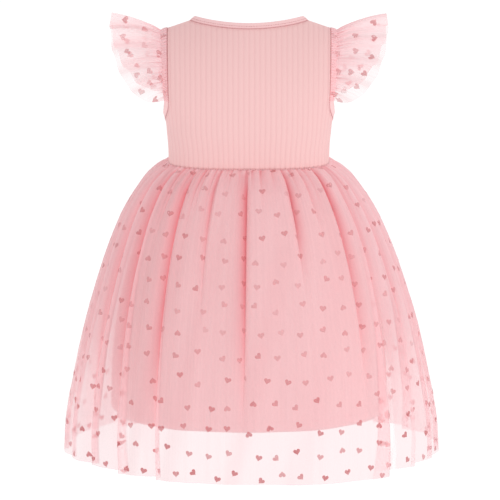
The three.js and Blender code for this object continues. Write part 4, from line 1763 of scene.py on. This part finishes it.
@dataclass
class LiningPanel:
    """The back or front of the plain lining skirt.

    Attributes:
        face: which panel it is.
        finishes: the dress's finishes.
        form: its smooth surface.
        waves: shallow waves round the panel.
        wave_depth: their depth at the hem.
        columns: columns between the side seams.
        rows: rows from waist to hem.
        hem: the height of the sewn hem.
        thickness: the cloth's thickness.
    """

    face: Face
    finishes: Finishes
    form: SkirtForm = field(default_factory=lambda: SkirtForm(LINING_SECTIONS, 2.35))
    waves: int = 6
    wave_depth: float = 3
    columns: int = 180
    rows: int = 90
    hem: float = 12
    thickness: float = 0.5

    def grid(self) -> tuple[ClothGrid, np.ndarray]:
        """Lays out the panel.

        Returns:
            Its points and each point's place on the flat cloth.
        """
        length = self.form.length
        along = np.linspace(0, 1, self.rows + 1) ** 1.1 * length
        share = np.broadcast_to(np.linspace(-1, 1, self.columns + 1), (len(along), self.columns + 1))
        down = along[:, None]
        smooth = self.form.points(self.face, share, along)
        inside = on_axis(smooth[:, 0, 2] - 10)[:, None]
        wave = (1 - np.cos(math.pi * self.waves * (share + 1))) / 2
        inward = self.wave_depth * wave * smooth_step(down, 0, length / 2)
        soft = 0.7 * ripples((share + 1) / 2 + down / 2400, 9, 90 + self.face.value)
        edge = smooth_step(1 - np.abs(share), 0, 0.05) * smooth_step(down, 10, 90)
        doubled = 0.35 * smooth_step(down, length - self.hem - 0.6, length - self.hem)
        grid = ClothGrid(smooth, inside).moved(soft * edge - inward + doubled)
        kept_to_face(grid.points, self.face)
        return grid, flat_places(share * 0.252, down * MILLIMETRE)

    def build(self) -> ClothGrid:
        """Makes and dresses the panel, and gives its points for the hem's sewing."""
        grid, flat = self.grid()
        node = f"skirt_lining_{self.face.word}"
        piece = cloth_piece(f"{node}_cloth", grid, flat)
        thicken(piece, self.thickness)
        dress_piece(piece, self.finishes.lining, Slot.LINING, node)
        return grid


@dataclass
class Skirt:
    """The lining skirt with the gathered net skirt over it."""

    finishes: Finishes

    def build(self) -> None:
        """Makes every piece of the skirt."""
        for face in Face:
            NetPanel(face, self.finishes).build()
            lining = LiningPanel(face, self.finishes)
            grid = lining.build()
            down = grid.lengths_down()
            row = float(np.interp(down[-1] - lining.hem, down, np.arange(len(down))))
            columns = np.arange(0, grid.points.shape[1] - 1, 0.5)
            raised = grid.moved(np.full(grid.points.shape[:2], 0.15))
            line = raised.sample(np.full(columns.shape, row), columns)
            name = f"lining_hem_stitches_{face.word}"
            StitchRow(name, Slot.LINING, self.finishes.thread, thickness=0.3).build(line)


# The sleeves


@dataclass
class FlutterSleeve:
    """A crescent of net gathered onto an armhole's binding.

    Attributes:
        form: the bodice's surface.
        side: which sleeve it is.
        finishes: the dress's finishes.
        width: its width over the shoulder.
        end_width: its width at its two ends.
        rise: how steeply it fans out over the shoulder, in degrees.
        fall: how much less steeply at its ends.
        spring: how much more steeply it leaves the binding.
        flare: how far it spreads to the back and front.
        waves: the waves of its edge.
        wave_depth: their depth.
        binding: where it starts past the bodice's edge.
        columns: columns from back to front.
        heading_rows: rows of the gathered heading on the binding.
        fan_rows: rows from the binding to the free edge.
        fullness: the flat net's length over the binding's stretch.
        print: the hearts.
    """

    form: BodiceForm
    side: Side
    finishes: Finishes
    width: float = 63
    end_width: float = 3
    rise: float = 15
    fall: float = 45
    spring: float = 13
    flare: float = 0.3
    waves: int = 9
    wave_depth: float = 5
    binding: float = 8.6
    columns: int = 300
    heading_rows: int = 8
    fan_rows: int = 44
    fullness: float = 2.1
    print: HeartPrint = field(default_factory=lambda: HeartPrint(width=8.8, across=26, down=23))

    def base(self) -> tuple[np.ndarray, np.ndarray, np.ndarray]:
        """The binding's stretch that carries the sleeve, from the back over the shoulder.

        Returns:
            The bodice edge's points, and the directions past it and out of it.
        """
        edge = ArmholeEdge(self.form, self.side)
        ring = edge.ring()
        reach = edge.rise_steps
        order = np.arange(reach, -reach - 1, -1)
        return ring.points[order], ring.onward[order], ring.normals[order]

    def direction(self, place: np.ndarray, degrees: np.ndarray) -> np.ndarray:
        """The direction in which the sleeve fans out, at an angle above the horizontal."""
        angle = np.radians(degrees)
        return unit(np.stack([self.side.value * np.cos(angle), self.flare * place, np.sin(angle)], axis=-1))

    def grid(self) -> tuple[ClothGrid, np.ndarray, dict[str, np.ndarray]]:
        """Lays out the sleeve.

        Returns:
            Its points, each point's place on the flat net, and its closeness and painted fold shade.
        """
        edge, onward, out = self.base()
        start = edge + onward * self.binding
        reach = lengths_along(start)
        place = np.linspace(-1, 1, self.columns + 1)
        wanted = (place + 1) / 2 * reach[-1]

        def spread(values: np.ndarray) -> np.ndarray:
            """Values along the binding, read at the sleeve's columns."""
            return np.stack([np.interp(wanted, reach, values[:, axis]) for axis in range(3)], axis=-1)

        bottom, onward, out = spread(start), unit(spread(onward)), unit(spread(out))
        rows = np.linspace(0, 1, self.heading_rows + 1)[:-1, None]
        share = np.linspace(0, 1, self.fan_rows + 1)[:, None]
        lift = 1.15 + self.crinkle(rows) * (0.5 + 0.5 * np.sin(math.pi * rows)) - 0.6 * rows
        sunk = (1 - rows) * (self.binding - 0.8)
        heading = bottom - onward * sunk[..., None] + out * lift[..., None]
        points = np.concatenate([heading, self.fan(bottom, place, share)])
        inside = np.array([self.side.value * 120.0, 0, -70])
        along = np.concatenate([(rows - 1) * self.binding, share * self.width])
        flat_width = self.fullness * reach[-1] * MILLIMETRE
        flat = flat_places(evenly(self.columns + 1) * flat_width, along * MILLIMETRE)
        return ClothGrid(points, inside), flat, self.layers(place, rows, share)

    @property
    def seed(self) -> int:
        """The first of this sleeve's sets of waves."""
        return 300 + self.side.value

    def edge_waves(self, place: np.ndarray) -> np.ndarray:
        """The waves of the free edge from back to front, between -1 and 1."""
        phase = 0.6 if self.side is Side.RIGHT else 2.7
        return np.cos(math.pi * self.waves * (place + 1) + phase)

    def crinkle(self, rows: np.ndarray) -> np.ndarray:
        """The small gathers of the heading, between about -1 and 1."""
        line = evenly(self.columns + 1)
        coarse, fine = ripples(line, 62, self.seed + 12), ripples(line + rows * 0.01, 110, self.seed + 16)
        return 0.55 * coarse + 0.35 * fine

    def fan(self, bottom: np.ndarray, place: np.ndarray, share: np.ndarray) -> np.ndarray:
        """Fans the net out from the binding.

        Args:
            bottom: the points where it leaves the binding.
            place: each column's place from the back, -1, to the front, 1.
            share: each row's share of the way to the free edge.

        Returns:
            The net's points.
        """
        width = self.width * np.maximum(1 - np.abs(place) ** 2.1, 0) ** (1 / 1.6)
        width = np.maximum(width, self.end_width)
        degrees = self.rise - self.fall * np.abs(place) ** 1.15
        away = self.direction(place, degrees)
        spring = self.direction(place, degrees + self.spring) * (share * (1 - share) * width)[..., None]
        across = unit(np.cross(unit(np.gradient(bottom, axis=0)), away))
        line = evenly(self.columns + 1)
        fine = 1.0 * ripples(line, 46, self.seed) * np.exp(-share / 0.16) * smooth_step(share, -0.1, 0.1)
        middle = 1.1 * ripples(line, 21, self.seed + 4) * np.exp(-share / 0.5) * smooth_step(share, 0, 0.2)
        frill = 0.8 * ripples(line, 30, self.seed + 8) * share**2
        waves = self.wave_depth * self.edge_waves(place) * share**1.3
        wavy = (waves + fine + middle + frill) * np.sqrt(width / self.width)
        return bottom + spring + away * (share**2 * width)[..., None] + across * wavy[..., None]

    def layers(self, place: np.ndarray, rows: np.ndarray, share: np.ndarray) -> dict[str, np.ndarray]:
        """How close the net is at each point, and how deep in a fold, as painted shade.

        Args:
            place: each column's place from the back, -1, to the front, 1.
            rows: each heading row's share of the way over the binding.
            share: each fan row's share of the way to the free edge.

        Returns:
            The numbers that the net's finish reads.
        """
        line = evenly(self.columns + 1)
        # Painted shade in the gathers of the heading and the fan, and in the troughs of the edge's waves.
        heading = np.clip(-self.crinkle(rows), 0, 1) ** 1.2 * 0.9
        fan = np.clip(-ripples(line, 46, self.seed), 0, 1.2) ** 1.4 * 0.8 * np.exp(-share / 0.28)
        fan = fan + 0.3 * (0.5 - 0.5 * self.edge_waves(place)) ** 3 * smooth_step(share, 0, 0.3)
        dark = np.clip(np.concatenate([heading, fan]), 0, 1)
        over = np.concatenate([np.zeros(rows.shape), share])
        gathered = 0.22 + 0.34 * np.exp(-over / 0.13) + 0.14 * (1 - over)
        streaks = 1 + 0.08 * ripples(line, 52, self.seed + 20) + 0.08 * ripples(line, 24, self.seed + 24)
        close = gathered * streaks * (1.12 - 0.4 * smooth_step(-place[None, :], 0.25, 0.85))
        close = np.clip(close + (0.9 - close) * 0.6 * dark, 0.1, 0.92)
        return {"closeness": close, "fold": dark}

    def build(self) -> None:
        """Makes and dresses the sleeve and its hearts."""
        grid, flat, layers = self.grid()
        node = f"sleeve_flutter_{self.side.word}"
        piece = cloth_piece(f"{node}_net", grid, flat, layers)
        dress_piece(piece, self.finishes.net, Slot.NET, node)
        hearts = self.print.build(f"{node}_hearts", grid, self.finishes, 60 + self.side.value)


# The picture


def stand(thing: Object, place: Sequence[float], aim: Sequence[float]) -> None:
    """Puts a camera or a lamp at a place, looking at another.

    Args:
        thing: the camera or lamp.
        place: where it stands, in metres.
        aim: what it looks at.
    """
    thing.location = place
    thing.rotation_euler = (Vector(aim) - thing.location).to_track_quat("-Z", "Y").to_euler()


@dataclass
class Studio:
    """The pale floor, the soft light and the camera.

    Attributes:
        aim: the point that the camera looks at, in metres.
        elevation: how far above the horizontal the camera stands, in degrees.
        distance: from the camera to that point.
        picture: the width of what the picture shows there.
        floor: the floor's height.
        daylight: the strength of the light from all round.
        lamp_aim: the point that the lamps look at.
    """

    aim: tuple[float, float, float] = (0.0012, 0.0, -0.279)
    elevation: float = 11.9
    distance: float = 7.0
    picture: float = 0.61
    floor: float = -1.25
    daylight: float = 0.69
    lamp_aim: tuple[float, float, float] = (0, 0, -0.28)

    def build(self) -> None:
        """Sets up the studio."""
        self.camera()
        self.ground()
        self.lights()
        scene = bpy.context.scene
        scene.view_settings.view_transform = "Standard"
        scene.view_settings.look = "None"

    def camera(self) -> None:
        """Makes the camera, behind the dress and a little above its middle."""
        lens = bpy.data.cameras.new("camera")
        lens.sensor_width = 36
        lens.lens = 36 * self.distance / self.picture
        lens.clip_end = 100
        camera = linked("camera", lens)
        angle = math.radians(self.elevation)
        back = self.distance * Vector((0, -math.cos(angle), math.sin(angle)))
        stand(camera, Vector(self.aim) + back, self.aim)
        bpy.context.scene.camera = camera

    def ground(self) -> None:
        """Makes the floor."""
        bm = bmesh.new()
        bmesh.ops.create_grid(bm, x_segments=1, y_segments=1, size=60)
        bmesh.ops.translate(bm, vec=(0, 0, self.floor), verts=bm.verts)
        floor = linked("floor", finished_mesh("floor", bm))
        pale = Shading("pale floor")
        place = pale.body_place()
        tone = pale.mixed(pale.noise(place, 3), (0.09, 0.09, 0.09, 1), (0.11, 0.11, 0.11, 1))
        pale.surface(Base_Color=tone, Roughness=0.9)
        pale.surface(Emission_Color=(1, 1, 1, 1), Emission_Strength=0.95)
        floor.data.materials.append(pale.material)

    def lights(self) -> None:
        """Makes the even surrounding light and the large soft lamps."""
        world = bpy.data.worlds.new("studio")
        world.use_nodes = True
        inputs = world.node_tree.nodes["Background"].inputs
        inputs["Color"].default_value = (1, 1, 1, 1)
        inputs["Strength"].default_value = self.daylight
        bpy.context.scene.world = world
        lamps = (
            ("key", (2.9, -3.0, 2.0), 2.4, 39),
            ("fill", (-3.0, -2.6, 1.2), 2.4, 6),
            ("rim", (0.6, 3.0, 2.4), 2.0, 15),
        )
        for name, place, size, power in lamps:
            light = bpy.data.lights.new(name, "AREA")
            light.shape = "SQUARE"
            light.size = size
            light.energy = power
            stand(linked(name, light), place, self.lamp_aim)


def main() -> None:
    """Builds the dress and its studio."""
    logging.basicConfig(level=logging.INFO, format="%(name)s: %(message)s")
    Studio().build()
    finishes = Finishes()
    form = BodiceForm()
    Bodice(form, finishes).build()
    Skirt(finishes).build()
    for side in Side:
        FlutterSleeve(form, side, finishes).build()


if __name__ == "__main__":
    main()
